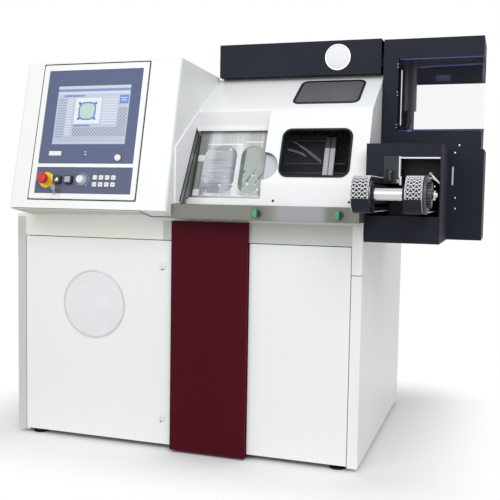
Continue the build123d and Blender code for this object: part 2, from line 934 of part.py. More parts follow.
# Two start buttons that slide through the rail's front wall
for button_name, button_x in zip(("left_start_button", "right_start_button"), button_places):
    with BuildPart() as start_button:
        with BuildSketch(Plane.XZ.offset(button_travel + fit - rail_front)):
            with Locations((button_x, button_z)):
                Circle(button_radius)
        extrude(amount=button_cap)
        fillet(start_button.faces().sort_by(Axis.Y)[0].edges(), button_cap / 4)
        with BuildSketch(Plane.XZ.offset(button_travel + fit - rail_front)):
            with Locations((button_x, button_z)):
                Circle(button_stem)
        extrude(amount=-(button_travel + fit + rail_wall + button_cap))
        with BuildSketch(Plane.XZ.offset(-rail_front - rail_wall - fit)):
            with Locations((button_x, button_z)):
                Circle(button_stem + rail_wall)
        extrude(amount=-rail_wall)
    start_button.part.label = button_name
    export_step(start_button.part, f"parts/{button_name}.step")

# Hood skin: folded from one side profile, open to the left, where the cheek closes it
knee = (front + knee_inset, deck_top + knee_height)
band = (front + hood_band_inset, deck_top + hood_band_height)
roof_edge = (front + roof_inset, deck_top + roof_height)
hood_back = front + hood_back_inset
hood_lean = atan2(knee[0] - band[0], knee[1] - band[1])
roof_pitch = atan2(roof_edge[1] - knee[1], roof_edge[0] - knee[0])
face_plane = Plane(
    origin=(left, band[0], band[1]),
    x_dir=(1, 0, 0),
    z_dir=(0, -cos(hood_lean), sin(hood_lean)),
)
roof_plane = Plane(
    origin=(left, knee[0], knee[1]),
    x_dir=(1, 0, 0),
    z_dir=(0, -sin(roof_pitch), cos(roof_pitch)),
)
opening_right = hood_left + opening_width
header_front = front + knee_inset
header_low = deck_top + knee_height - header_height
grip_up = (grip_height - hood_band_height) / cos(hood_lean)
face_window_from = hood_from + opening_width + window_gap
roof_window_from = face_window_from + roof_window_shift
window_tops = (
    (face_plane, face_window_from, face_window_width, face_window_low, face_window_height, face_window_round),
    (roof_plane, roof_window_from, roof_window_width, roof_window_low, roof_window_height, roof_window_round),
)


def rounded_window(from_x, width, low, height, corner, inset):
    # A rounded rectangle, smaller by inset all round than the window's outer edge
    with Locations((from_x + width / 2, low + height / 2)):
        RectangleRounded(width - 2 * inset, height - 2 * inset, corner - inset)


with BuildPart() as hood_skin:
    with BuildSketch(Plane.YZ.offset(hood_left)) as hood_profile:
        with BuildLine():
            Polyline(
                (front + hood_foot_inset, deck_top), band, knee, roof_edge,
                (hood_back, deck_top + roof_height), (hood_back, deck_top),
                close=True,
            )
        make_face()
        fillet(hood_profile.vertices().sort_by(Axis.Y)[3], knee_round)
    extrude(amount=hood_width)
    with BuildSketch(Plane.YZ.offset(hood_left - overrun)):
        add(hood_profile.sketch_local)
        offset(amount=-sheet, mode=Mode.REPLACE)
        with Locations(((front + hood_foot_inset + hood_back) / 2, deck_top)):
            Rectangle(hood_back - front - hood_foot_inset - 2 * sheet, 2 * sheet + overrun)
    extrude(amount=hood_width - sheet + overrun, mode=Mode.SUBTRACT)
    # Door opening, cut from the front as far as the header
    block(
        hood_left - overrun, opening_right, front - overrun, header_front,
        deck_top + sill_height, knee[1], mode=Mode.SUBTRACT,
    )
    block(
        hood_left, opening_right + header_overlap, header_front, header_front + sheet,
        header_low, knee[1] - 2 * sheet,
    )
    # Half-round grip recess at the opening's right edge
    with BuildSketch(face_plane):
        with Locations((opening_right - left, grip_up)):
            Circle(grip_radius + sheet)
        with Locations((opening_right - left - grip_radius, grip_up)):
            Rectangle(2 * grip_radius, 3 * grip_radius, mode=Mode.SUBTRACT)
    extrude(amount=-grip_depth - sheet)
    with BuildSketch(face_plane.offset(overrun)):
        with Locations((opening_right - left, grip_up)):
            Circle(grip_radius)
    extrude(amount=-grip_depth - overrun, mode=Mode.SUBTRACT)
    # Window openings
    for window_plane, from_x, width, low, height, corner in window_tops:
        with BuildSketch(window_plane.offset(overrun)):
            rounded_window(from_x, width, low, height, corner, seal_width / 2)
        extrude(amount=-overrun - 2 * sheet, mode=Mode.SUBTRACT)
hood_skin.part.label = "hood_skin"
export_step(hood_skin.part, "parts/hood_skin.step")

# Window seals: rubber rings that grip the sheet's edge
with BuildPart() as window_seals:
    for window_plane, from_x, width, low, height, corner in window_tops:
        for ring_face, ring_depth, inset in (
            (window_plane, seal_lip, 0),
            (window_plane.offset(-sheet), sheet, seal_width / 2),
            (window_plane.offset(-sheet - seal_lip), seal_lip, 0),
        ):
            with BuildSketch(ring_face):
                rounded_window(from_x, width, low, height, corner, inset)
            extrude(amount=ring_depth)
        with BuildSketch(window_plane.offset(-sheet - seal_lip)):
            rounded_window(from_x, width, low, height, corner, seal_width)
        extrude(amount=sheet + 2 * seal_lip, mode=Mode.SUBTRACT)
        outer_rim = window_seals.faces().filter_by(Axis((0, 0, 0), window_plane.z_dir)).sort_by(
            Axis((0, 0, 0), window_plane.z_dir)
        )[-1]
        chamfer(outer_rim.outer_wire().edges(), seal_lip / 3)
window_seals.part.label = "window_seals"
export_step(window_seals.part, "parts/window_seals.step")

# Window panes, held inside the seals
with BuildPart() as window_panes:
    for window_plane, from_x, width, low, height, corner in window_tops:
        with BuildSketch(window_plane.offset(-sheet - seal_lip / 2)):
            rounded_window(from_x, width, low, height, corner, seal_width)
        extrude(amount=window_glass)
window_panes.part.label = "window_panes"
export_step(window_panes.part, "parts/window_panes.step")

# Hood cheek: the flat plate between console and hood, standing out before the door
cheek_left = hood_left - cheek_thickness
with BuildPart() as hood_cheek:
    with BuildSketch(Plane.YZ.offset(cheek_left)):
        with BuildLine():
            Polyline(
                (front + hood_foot_inset, deck_top), (front + hood_foot_inset, deck_top + cheek_low),
                (front - cheek_reach, deck_top + cheek_low),
                (front - cheek_reach, deck_top + cheek_edge_height),
                knee, roof_edge,
                (hood_back, deck_top + roof_height), (hood_back, deck_top),
                close=True,
            )
        make_face()
    extrude(amount=cheek_thickness)
hood_cheek.part.label = "hood_cheek"
export_step(hood_cheek.part, "parts/hood_cheek.step")

# Sliding door with two rounded windows, behind the leaning face
door_face = face_plane.offset(-door_back)
sliding_from = hood_from + sliding_inset
sliding_width = opening_width - sliding_inset + sliding_lap
large_window_from = sliding_from + door_window_margin
small_window_from = sliding_from + sliding_width - door_window_end - small_window_width
large_window_width = small_window_from - door_window_gap - large_window_from
door_windows = (
    (large_window_from, large_window_width),
    (small_window_from, small_window_width),
)
with BuildPart() as sliding_door:
    with BuildSketch(door_face):
        face_rectangle(sliding_from, sliding_width, sliding_low, sliding_tall)
        for from_x, width in door_windows:
            with Locations((from_x + width / 2, window_low + window_tall / 2)):
                RectangleRounded(width, window_tall, door_window_round, mode=Mode.SUBTRACT)
    extrude(amount=-sliding_thickness)
sliding_door.part.label = "sliding_door"
export_step(sliding_door.part, "parts/sliding_door.step")

with BuildPart() as door_panes:
    with BuildSketch(door_face.offset(-sliding_thickness)):
        for from_x, width in door_windows:
            with Locations((from_x + width / 2, window_low + window_tall / 2)):
                RectangleRounded(
                    width + 2 * pane_lap, window_tall + 2 * pane_lap, door_window_round + pane_lap,
                )
    extrude(amount=-pane_thickness)
door_panes.part.label = "door_panes"
export_step(door_panes.part, "parts/door_panes.step")

# Door guides: a channel under the door on a leg, and one over it on a flange
guide_from = sliding_from - 2 * guide_play
guide_right = hood_right - left - sheet - guide_play
guide_width = guide_right - guide_from
channel_back = door_back + sliding_thickness + guide_play + guide_wall
channel_front = door_back - guide_play - guide_wall
sliding_top = sliding_low + sliding_tall
with BuildPart() as door_guides:
    for floor_low, lips_low in (
        (sliding_low - guide_play - guide_wall, sliding_low - guide_play - guide_wall),
        (sliding_top + guide_play, sliding_top + guide_play - guide_lip),
    ):
        with BuildSketch(face_plane.offset(-channel_back)):
            face_rectangle(guide_from, guide_width, floor_low, guide_wall)
        extrude(amount=channel_back - channel_front)
        for wall_back in (channel_back, channel_front + guide_wall):
            with BuildSketch(face_plane.offset(-wall_back)):
                face_rectangle(guide_from, guide_width, lips_low, guide_lip + guide_wall)
            extrude(amount=guide_wall)
    stop_from = sliding_from + sliding_width + sliding_travel + fit
    with BuildSketch(face_plane.offset(-channel_back)):
        face_rectangle(stop_from, guide_lip, sliding_low - guide_play - guide_wall, guide_lip + guide_wall)
    extrude(amount=channel_back - channel_front)
    channel_foot = door_guides.vertices().sort_by(Axis.Z)[0]
    leg_front = channel_foot.Y - leg_thickness
    block(
        left + guide_from, left + guide_right, leg_front, channel_foot.Y,
        deck_top, channel_foot.Z + guide_wall,
    )
    flange_from = opening_right - left + 2 * header_overlap
    with BuildSketch(face_plane.offset(-channel_front - guide_wall)):
        face_rectangle(flange_from, guide_right - flange_from, sliding_top + guide_play, guide_wall)
    extrude(amount=channel_front + guide_wall - sheet)
door_guides.part.label = "door_guides"
export_step(door_guides.part, "parts/door_guides.step")

# Chamber liner: stainless floor, back and end walls behind the door
liner_back = front + liner_back_inset
liner_right = hood_right - sheet
liner_low = deck_top
roof_under = deck_top + roof_height - sheet - liner_top_gap
liner_front = front + liner_front_inset
front_under = knee[1] + (liner_front - knee[0]) * (roof_edge[1] - knee[1]) / (roof_edge[0] - knee[0])
with BuildPart() as chamber_liner:
    block(
        hood_left, liner_right, leg_front + leg_thickness + liner_top_gap, liner_back,
        liner_low, liner_low + sheet,
    )
    block(hood_left, liner_right, liner_back, liner_back + sheet, liner_low, roof_under)
    for wall_x in (hood_left, liner_right - sheet):
        with BuildSketch(Plane.YZ.offset(wall_x)):
            with BuildLine():
                Polyline(
                    (liner_front, liner_low), (liner_front, front_under - 2 * liner_top_gap - sheet),
                    (roof_edge[0], roof_under), (liner_back, roof_under), (liner_back, liner_low),
                    close=True,
                )
            make_face()
        extrude(amount=sheet)
    block(
        pedestal_left - fit, pedestal_right + fit, pedestal_front - fit, pedestal_back + fit,
        liner_low - overrun, liner_low + sheet + overrun, mode=Mode.SUBTRACT,
    )
chamber_liner.part.label = "chamber_liner"
export_step(chamber_liner.part, "parts/chamber_liner.step")

# Machine bed: a ribbed casting on the frame, its pedestal and spindle head in the chamber
spindle_y = (pedestal_front + pedestal_back) / 2
slide_right = bed_right - slide_end_inset
slide_left = slide_right - slide_width
pedestal_top = deck_top + pedestal_height
spindle_z = pedestal_top + head_bore_height
bed_low = base + tube
head_left = pedestal_left
head_right = head_left + head_width
way_places = (pedestal_front + way_width, pedestal_back - 2 * way_width)
with BuildPart() as machine_bed:
    block(bed_left, bed_right, bed_front, bed_back, cabinet_top - bed_height, cabinet_top - deck_thickness)
    for leg_x in leg_places:
        block(leg_x, leg_x + tube, bed_front, bed_back, bed_low, cabinet_top - bed_height)
    chamfer(machine_bed.faces().sort_by(Axis.Z)[-1].edges(), deck_thickness / 2)
    # Pockets between the two legs, open below, with ribs between them
    pocket_from = leg_places[0] + tube
    pocket_width = (leg_places[1] - pocket_from - (bed_pocket_columns + 1) * bed_rib) / bed_pocket_columns
    pocket_depth = (bed_depth - 2 * bed_wall - (bed_pocket_rows - 1) * bed_rib) / bed_pocket_rows
    with BuildSketch(Plane.XY.offset(cabinet_top - bed_height)):
        with Locations(((pocket_from + leg_places[1]) / 2, (bed_front + bed_back) / 2)):
            with GridLocations(
                pocket_width + bed_rib, pocket_depth + bed_rib, bed_pocket_columns, bed_pocket_rows,
            ):
                RectangleRounded(pocket_width, pocket_depth, bed_rib / 2)
    extrude(amount=bed_height - deck_thickness - 2 * bed_wall, mode=Mode.SUBTRACT)
    block(
        pedestal_left, pedestal_right, pedestal_front, pedestal_back,
        cabinet_top - deck_thickness - overrun, pedestal_top,
    )
    block(head_left, head_right, pedestal_front, pedestal_back, pedestal_top, pedestal_top + head_height)
    head_edges = machine_bed.edges().filter_by(Axis.X).group_by(Axis.Z)[-1]
    fillet(head_edges, head_height / 4)
    with BuildSketch(Plane.YZ.offset(head_left - overrun)):
        with Locations((spindle_y, spindle_z)):
            Circle(spindle_radius + shaft_fit)
    extrude(amount=head_width + 2 * overrun, mode=Mode.SUBTRACT)
    for way_y in way_places:
        block(
            slide_left - slide_travel, pedestal_right, way_y, way_y + way_width,
            pedestal_top, pedestal_top + way_height,
        )
machine_bed.part.label = "machine_bed"
export_step(machine_bed.part, "parts/machine_bed.step")

# Work spindle: shaft, chuck, blocking piece and the lens blank on it
with BuildPart() as work_spindle:
    with BuildSketch(Plane.XY.offset(spindle_z)):
        with BuildLine():
            chuck_face = head_right + fit + chuck_length
            lens_face = chuck_face + lens_block
            Polyline(
                (head_left, spindle_y), (head_left, spindle_y + spindle_radius),
                (head_right + fit, spindle_y + spindle_radius), (head_right + fit, spindle_y + chuck_radius),
                (chuck_face - chuck_bore, spindle_y + chuck_radius), (chuck_face, spindle_y + spindle_radius),
                (lens_face, spindle_y + spindle_radius - chuck_bore),
                (lens_face, spindle_y + lens_radius),
            )
            RadiusArc(
                (lens_face, spindle_y + lens_radius),
                (lens_face + lens_thickness, spindle_y), dome_radius(lens_radius, lens_thickness),
            )
            Line((lens_face + lens_thickness, spindle_y), (head_left, spindle_y))
        make_face()
    revolve(axis=Axis((head_left, spindle_y, spindle_z), (1, 0, 0)))
work_spindle.part.label = "work_spindle"
export_step(work_spindle.part, "parts/work_spindle.step")

# Tool slide: a carriage on the bed's two ways, with the tool spindle's bore
with BuildPart() as tool_slide:
    block(
        slide_left, slide_right, pedestal_front, pedestal_back,
        pedestal_top + fit, pedestal_top + head_height,
    )
    fillet(tool_slide.edges().filter_by(Axis.X).group_by(Axis.Z)[-1], head_height / 4)
    for way_y in way_places:
        block(
            slide_left - overrun, slide_right + overrun, way_y - fit, way_y + way_width + fit,
            pedestal_top, pedestal_top + way_height + fit, mode=Mode.SUBTRACT,
        )
    with BuildSketch(Plane.YZ.offset(slide_left - overrun)):
        with Locations((spindle_y, spindle_z)):
            Circle(spindle_radius + shaft_fit)
    extrude(amount=slide_width + 2 * overrun, mode=Mode.SUBTRACT)
tool_slide.part.label = "tool_slide"
export_step(tool_slide.part, "parts/tool_slide.step")

# Tool spindle: shaft, nose and the cutter at its end
with BuildPart() as tool_spindle:
    with BuildSketch(Plane.XY.offset(spindle_z)):
        with BuildLine():
            nose_end = slide_left - fit - nose_length
            Polyline(
                (slide_right, spindle_y), (slide_right, spindle_y + spindle_radius),
                (slide_left - fit, spindle_y + spindle_radius), (nose_end, spindle_y + nose_radius),
                (nose_end, spindle_y + cutter_radius),
                (nose_end - cutter_length / 2, spindle_y + cutter_radius),
            )
            RadiusArc(
                (nose_end - cutter_length / 2, spindle_y + cutter_radius),
                (nose_end - cutter_length, spindle_y), -dome_radius(cutter_radius, cutter_length / 2),
            )
            Line((nose_end - cutter_length, spindle_y), (slide_right, spindle_y))
        make_face()
    revolve(axis=Axis((slide_left, spindle_y, spindle_z), (1, 0, 0)))
tool_spindle.part.label = "tool_spindle"
export_step(tool_spindle.part, "parts/tool_spindle.step")

# Way cover: a pleated curtain hung along the liner's back wall
pleat_left = hood_left + pleat_inset
pleat_points = [
    (pleat_left + step * pleat_pitch / 2, liner_back - pleat_wall - (pleat_depth if step % 2 else 0))
    for step in range(2 * pleat_count)
]
with BuildPart() as way_cover:
    with BuildSketch(Plane.XY.offset(deck_top + pleat_low)):
        with BuildLine():
            Polyline(*pleat_points, *[(x, y + pleat_wall) for x, y in reversed(pleat_points)], close=True)
        make_face()
    extrude(amount=pleat_height)
way_cover.part.label = "way_cover"
export_step(way_cover.part, "parts/way_cover.step")

# Gantry cover: a long dark cover on the hood, open below and toward the tower
gantry_left = hood_left + gantry_left_inset
gantry_right = hood_right - gantry_right_inset
gantry_front = front + gantry_inset
gantry_back = gantry_front + gantry_depth
gantry_low = deck_top + roof_height
gantry_top = gantry_low + gantry_height
with BuildPart() as gantry_cover:
    block(gantry_left, gantry_right, gantry_front, gantry_back, gantry_low, gantry_top)
    block(
        gantry_left + box_wall, gantry_right + overrun, gantry_front + box_wall, gantry_back - box_wall,
        gantry_low + box_wall, gantry_top - box_wall, mode=Mode.SUBTRACT,
    )
    block(
        gantry_left + box_wall, gantry_right - box_wall, roof_edge[0] + box_wall, gantry_back - box_wall,
        gantry_low - overrun, gantry_low + overrun, mode=Mode.SUBTRACT,
    )
gantry_cover.part.label = "gantry_cover"
export_step(gantry_cover.part, "parts/gantry_cover.step")

# Lower loader box, beside the cabinet: open above, and in front where the belts enter
lower_right = right + loader_reach
lower_low = cabinet_top - lower_box_drop
lower_top = lower_low + lower_box_height
box_left = right + front_box_gap
box_right = box_left + front_box_width
box_front = front + front_box_inset
mouth_low = lower_low + apron_height
mouth_high = mouth_low + mouth_height
slot_x = box_right + slot_inset
with BuildPart() as lower_box:
    block(right, lower_right, gantry_front, gantry_back, lower_low, lower_top)
    block(
        right + box_wall, lower_right - box_wall, gantry_front + box_wall, gantry_back - box_wall,
        lower_low + box_wall, lower_top + overrun, mode=Mode.SUBTRACT,
    )
    block(
        box_left + mouth_margin, box_right - mouth_margin, gantry_front - overrun,
        gantry_front + 2 * box_wall, mouth_low, mouth_high + notch_height, mode=Mode.SUBTRACT,
    )
    block(
        slot_x, slot_x + slot_width, gantry_front - overrun, gantry_front + 2 * box_wall,
        lower_low + slot_low, lower_low + slot_low + slot_height, mode=Mode.SUBTRACT,
    )
lower_box.part.label = "lower_box"
export_step(lower_box.part, "parts/lower_box.step")

# Front loader box: a cover open at the back, with an L-shaped mouth in its front
with BuildPart() as front_box:
    block(box_left, box_right, box_front, gantry_front, lower_low, lower_top)
    block(
        box_left + box_wall, box_right - box_wall, box_front + box_wall, gantry_front + overrun,
        lower_low + box_wall, lower_top - box_wall, mode=Mode.SUBTRACT,
    )
    block(
        box_left + mouth_margin, box_right - mouth_margin, box_front - overrun,
        box_front + 2 * box_wall, mouth_low, mouth_high, mode=Mode.SUBTRACT,
    )
    block(
        box_right - notch_width, box_right - mouth_margin, box_front - overrun,
        box_front + 2 * box_wall, mouth_low, mouth_high + notch_height, mode=Mode.SUBTRACT,
    )
front_box.part.label = "front_box"
export_step(front_box.part, "parts/front_box.step")

# Tower frame: a folded housing on the lower box, open to the front, right and back
tower_left = right
tower_right = tower_left + tower_width
tower_low = lower_top
tower_top = tower_low + tower_height
window_left = tower_left + tower_column
window_floor = tower_low + tower_sill
window_roof = tower_top - tower_beam
guard_axis_x = window_left + guard_bar
guard_axis_y = gantry_front + guard_bar / 2
with BuildPart() as tower_frame:
    block(tower_left, tower_right, gantry_front, gantry_back, tower_low, tower_top)
    block(
        tower_left + box_wall, tower_right - box_wall, gantry_front + box_wall, gantry_back - box_wall,
        tower_low - overrun, tower_top - box_wall, mode=Mode.SUBTRACT,
    )
    block(
        window_left, tower_right + overrun, gantry_front - overrun, gantry_back - box_wall,
        window_floor, window_roof, mode=Mode.SUBTRACT,
    )
    block(
        tower_left + back_column, tower_right + overrun, gantry_back - 2 * box_wall, gantry_back + overrun,
        tower_low + back_sill, tower_top - back_header, mode=Mode.SUBTRACT,
    )
    block(
        tower_left - overrun, tower_left + 2 * box_wall, gantry_front + gantry_depth / 2,
        gantry_back - box_wall, gantry_low + overrun, tower_top - box_wall, mode=Mode.SUBTRACT,
    )
    # Ledges behind the sill and the beam, each with one hinge pin of the guard
    for ledge_low, pin_end in ((window_floor - box_wall, Align.MIN), (window_roof, Align.MAX)):
        block(
            window_left - box_wall, tower_right - box_wall, gantry_front, gantry_front + 3 * guard_bar,
            ledge_low, ledge_low + box_wall,
        )
        pin_z = ledge_low + (box_wall if pin_end is Align.MIN else 0)
        with Locations((guard_axis_x, guard_axis_y, pin_z)):
            Cylinder(guard_pin_radius, guard_pin_length, align=(Align.CENTER, Align.CENTER, pin_end))
tower_frame.part.label = "tower_frame"
export_step(tower_frame.part, "parts/tower_frame.step")

# Clear guard: a front and a side pane in one, on a hinge bar at its left
guard_low = window_floor + guard_play
guard_high = window_roof - guard_play
guard_right = tower_right - guard_play
with BuildPart() as clear_guard:
    with BuildSketch(Plane.XY.offset(guard_low)):
        with BuildLine():
            Polyline(
                (guard_axis_x, gantry_front + guard_play), (guard_right, gantry_front + guard_play),
                (guard_right, gantry_back - box_wall - guard_play),
                (guard_right - guard_thickness, gantry_back - box_wall - guard_play),
                (guard_right - guard_thickness, gantry_front + guard_play + guard_thickness),
                (guard_axis_x, gantry_front + guard_play + guard_thickness),
                close=True,
            )
        make_face()
        with Locations((guard_axis_x, guard_axis_y)):
            Circle(guard_bar / 2 + guard_play / 2)
    extrude(amount=guard_high - guard_low)
    with Locations((guard_axis_x, guard_axis_y, guard_low), (guard_axis_x, guard_axis_y, guard_high)):
        Cylinder(
            guard_pin_radius + shaft_fit, 2 * guard_pin_length, mode=Mode.SUBTRACT,
        )
clear_guard.part.label = "clear_guard"
export_step(clear_guard.part, "parts/clear_guard.step")

# Loader beam: a slotted profile along the back of gantry and tower
beam_left = gantry_left + 2 * box_wall
beam_right = tower_right - 2 * box_wall
beam_back = gantry_back - box_wall
beam_front = beam_back - beam_depth
beam_top = tower_top - beam_drop
beam_low = beam_top - beam_height
with BuildPart() as loader_beam:
    with BuildSketch(Plane.YZ.offset(beam_left)):
        with Locations(((beam_front + beam_back) / 2, (beam_low + beam_top) / 2)):
            Rectangle(beam_depth, beam_height)
        with Locations(
            (beam_front, beam_low + beam_height / 4), (beam_front, beam_top - beam_height / 4),
        ):
            Rectangle(2 * beam_slot_depth, beam_slot, mode=Mode.SUBTRACT)
    extrude(amount=beam_right - beam_left)
loader_beam.part.label = "loader_beam"
export_step(loader_beam.part, "parts/loader_beam.step")

# Loader carriage: a block on the beam, with a long guide below it for the arm
carriage_left = tower_left + carriage_from
carriage_back = beam_front - fit
carriage_front = carriage_back - carriage_depth
arm_left = carriage_left + (carriage_width - arm_width) / 2
arm_back = carriage_front - fit
with BuildPart() as loader_carriage:
    block(
        carriage_left, carriage_left + carriage_width, carriage_front, carriage_back,
        beam_low, beam_top,
    )
    block(
        carriage_left, carriage_left + carriage_width, carriage_front, carriage_front + carriage_plate,
        beam_low - carriage_drop, beam_low,
    )
    cheek_width = (carriage_width - arm_width) / 2 - fit
    for cheek_x in (carriage_left, carriage_left + carriage_width - cheek_width):
        block(
            cheek_x, cheek_x + cheek_width, carriage_front - arm_depth - 2 * fit, carriage_front,
            beam_low - carriage_drop, beam_top,
        )
    for tongue_z in (beam_low + beam_height / 4, beam_top - beam_height / 4):
        block(
            carriage_left, carriage_left + carriage_width, carriage_back, beam_front + beam_slot_depth - fit,
            tongue_z - beam_slot / 2 + fit, tongue_z + beam_slot / 2 - fit,
        )
loader_carriage.part.label = "loader_carriage"
export_step(loader_carriage.part, "parts/loader_carriage.step")

# Gripper: the upright arm, its foot and the suction cup under it
arm_foot = tower_low + arm_low
with BuildPart() as gripper:
    block(arm_left, arm_left + arm_width, arm_back - arm_depth, arm_back, arm_foot, arm_foot + arm_length)
    block(
        arm_left, arm_left + arm_width, arm_back - arm_depth - gripper_reach, arm_back,
        arm_foot, arm_foot + gripper_cup,
    )
    cup_y = arm_back - arm_depth - gripper_reach + gripper_cup_radius
    with Locations((arm_left + arm_width / 2, cup_y, arm_foot)):
        Cone(
            gripper_cup_radius, gripper_cup_radius / 2, gripper_cup,
            align=(Align.CENTER, Align.CENTER, Align.MAX),
        )
gripper.part.label = "gripper"
export_step(gripper.part, "parts/gripper.step")

# Conveyor belts: modular loops, grooved at every link
axis_y = front - nose_reach
axis_z = lower_low + axis_height
run_back = axis_y + belt_run
belt_spans = (
    (box_left + belt_left_inset, belt_left_width), (box_left + belt_right_inset, belt_right_width),
)
belt_inner = belt_radius - belt_thickness
half_turn = pi * belt_radius
turn_links = round(half_turn / belt_pitch)
run_links = round(belt_run / belt_pitch)
with BuildPart() as conveyor_belts:
    for belt_left, belt_width in belt_spans:
        with BuildSketch(Plane.YZ.offset(belt_left)):
            with Locations(((axis_y + run_back) / 2, axis_z)):
                SlotOverall(belt_run + 2 * belt_radius, 2 * belt_radius)
                SlotOverall(belt_run + 2 * belt_inner, 2 * belt_inner, mode=Mode.SUBTRACT)
            # Hinge grooves round the nose
            with Locations((axis_y, axis_z)):
                with PolarLocations(belt_radius, turn_links, start_angle=90, angular_range=180):
                    Rectangle(2 * groove_depth, groove_width, mode=Mode.SUBTRACT)
            # Hinge grooves along the two straight runs
            with Locations(((axis_y + run_back) / 2, axis_z)):
                with GridLocations(belt_pitch, 2 * belt_radius, run_links, 2):
                    Rectangle(groove_width, 2 * groove_depth, mode=Mode.SUBTRACT)
        extrude(amount=belt_width)
conveyor_belts.part.label = "conveyor_belts"
export_step(conveyor_belts.part, "parts/conveyor_belts.step")

# Conveyor bracket: two bearing arms on a pedestal, and a slide bed inside each belt
arm_low_z = axis_z - arm_plate_half
left_arm = belt_spans[0][0] + belt_left_width + arm_gap
right_arm = belt_spans[1][0] - arm_gap - arm_plate
bed_radius = belt_inner - fit - fit
drum_radius = bed_radius
bed_front_y = axis_y + drum_radius + groove_width
pedestal_from = box_front + pedestal_from_share * (gantry_front - box_front)
with BuildPart() as conveyor_bracket:
    for plate_x in (left_arm, right_arm):
        with BuildSketch(Plane.YZ.offset(plate_x)):
            with Locations(((axis_y + run_back) / 2, axis_z)):
                SlotOverall(belt_run + 2 * arm_plate_half, 2 * arm_plate_half)
            with Locations((axis_y, axis_z)):
                Circle(journal_radius + shaft_fit, mode=Mode.SUBTRACT)
        extrude(amount=arm_plate)
    for bed_from_x, bed_to_x in (
        (belt_spans[0][0] + sheet, left_arm),
        (right_arm + arm_plate, belt_spans[1][0] + belt_right_width - sheet),
    ):
        block(
            bed_from_x, bed_to_x, bed_front_y, run_back,
            axis_z + bed_radius - bed_plate, axis_z + bed_radius,
        )
        with BuildSketch(Plane.YZ.offset(bed_from_x)):
            with Locations((run_back, axis_z)):
                Circle(bed_radius)
        extrude(amount=bed_to_x - bed_from_x)
        with BuildSketch(Plane.YZ.offset(bed_from_x)):
            with BuildLine():
                guard_inner = belt_radius + guard_gap
                guard_outer = guard_inner + guard_shell
                CenterArc((axis_y, axis_z), guard_outer, guard_angle_from, guard_angle)
                CenterArc((axis_y, axis_z), guard_inner, guard_angle_from, guard_angle)
                for turn in (radians(guard_angle_from), radians(guard_angle_from + guard_angle)):
                    Line(
                        (axis_y + guard_outer * cos(turn), axis_z + guard_outer * sin(turn)),
                        (axis_y + guard_inner * cos(turn), axis_z + guard_inner * sin(turn)),
                    )
            make_face()
        extrude(amount=bed_to_x - bed_from_x)
    block(
        left_arm, right_arm + arm_plate, pedestal_from, pedestal_from + pedestal_length,
        lower_low + box_wall, arm_low_z + overrun,
    )
    for plate_x in (left_arm, right_arm):
        block(
            plate_x, plate_x + arm_plate, axis_y - arm_plate, axis_y + arm_plate,
            axis_z - belt_radius - guard_gap - guard_shell, arm_low_z + overrun,
        )
conveyor_bracket.part.label = "conveyor_bracket"
export_step(conveyor_bracket.part, "parts/conveyor_bracket.step")

# Conveyor shaft: journals, the polished tube between the arms, and a drum in each belt
shaft_left = belt_spans[0][0]
belt_end = belt_spans[1][0] + belt_right_width
shaft_right = belt_end + arm_gap + guide_disc + pulley_width + hub_length
with BuildPart() as conveyor_shaft:
    for from_x, to_x, radius in (
        (shaft_left, shaft_right, journal_radius),
        (left_arm + arm_plate + fit, right_arm - fit, conveyor_tube_radius),
        (shaft_left + sheet, left_arm - fit, drum_radius),
        (right_arm + arm_plate + fit, belt_end - sheet, drum_radius),
    ):
        with BuildSketch(Plane.YZ.offset(from_x)):
            with Locations((axis_y, axis_z)):
                Circle(radius)
        extrude(amount=to_x - from_x)
conveyor_shaft.part.label = "conveyor_shaft"
export_step(conveyor_shaft.part, "parts/conveyor_shaft.step")

# Drive pulley: the guide disc beside the right belt, the toothed pulley and its hub
disc_left = belt_end + arm_gap
with BuildPart() as drive_pulley:
    with BuildSketch(Plane.YZ.offset(disc_left)):
        with Locations((axis_y, axis_z)):
            Circle(guide_radius)
    extrude(amount=guide_disc)
    chamfer(drive_pulley.edges().filter_by(GeomType.CIRCLE), guide_disc / 5)
    with BuildSketch(Plane.YZ.offset(disc_left + guide_disc)):
        with Locations((axis_y, axis_z)):
            Circle(pulley_radius)
            with PolarLocations(pulley_radius, pulley_teeth):
                Rectangle(2 * tooth_depth, pi * pulley_radius / pulley_teeth, mode=Mode.SUBTRACT)
    extrude(amount=pulley_width)
    with BuildSketch(Plane.YZ.offset(disc_left + guide_disc + pulley_width)):
        with Locations((axis_y, axis_z)):
            Circle(hub_radius)
    extrude(amount=hub_length)
    with BuildSketch(Plane.YZ.offset(disc_left)):
        with Locations((axis_y, axis_z)):
            Circle(journal_radius)
    extrude(amount=guide_disc + pulley_width + hub_length, mode=Mode.SUBTRACT)
drive_pulley.part.label = "drive_pulley"
export_step(drive_pulley.part, "parts/drive_pulley.step")
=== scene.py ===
import bpy
import bmesh
from math import asin, cos, pi, radians, sin
from mathutils import Matrix, Vector


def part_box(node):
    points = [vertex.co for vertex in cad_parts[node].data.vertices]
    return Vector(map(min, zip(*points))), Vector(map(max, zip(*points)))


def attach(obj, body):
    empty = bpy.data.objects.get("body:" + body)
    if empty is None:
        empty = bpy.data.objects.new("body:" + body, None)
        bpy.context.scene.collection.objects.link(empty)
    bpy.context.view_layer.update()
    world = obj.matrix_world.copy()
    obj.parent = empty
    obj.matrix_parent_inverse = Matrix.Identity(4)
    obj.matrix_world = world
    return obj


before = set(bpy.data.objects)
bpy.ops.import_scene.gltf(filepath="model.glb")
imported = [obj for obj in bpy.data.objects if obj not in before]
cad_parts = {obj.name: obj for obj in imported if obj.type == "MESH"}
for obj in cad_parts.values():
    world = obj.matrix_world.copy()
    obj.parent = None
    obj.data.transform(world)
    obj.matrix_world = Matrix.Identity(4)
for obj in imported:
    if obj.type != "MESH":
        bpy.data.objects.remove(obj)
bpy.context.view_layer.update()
print("stage: frame loaded,", len(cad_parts), "nodes")
finishes = {}


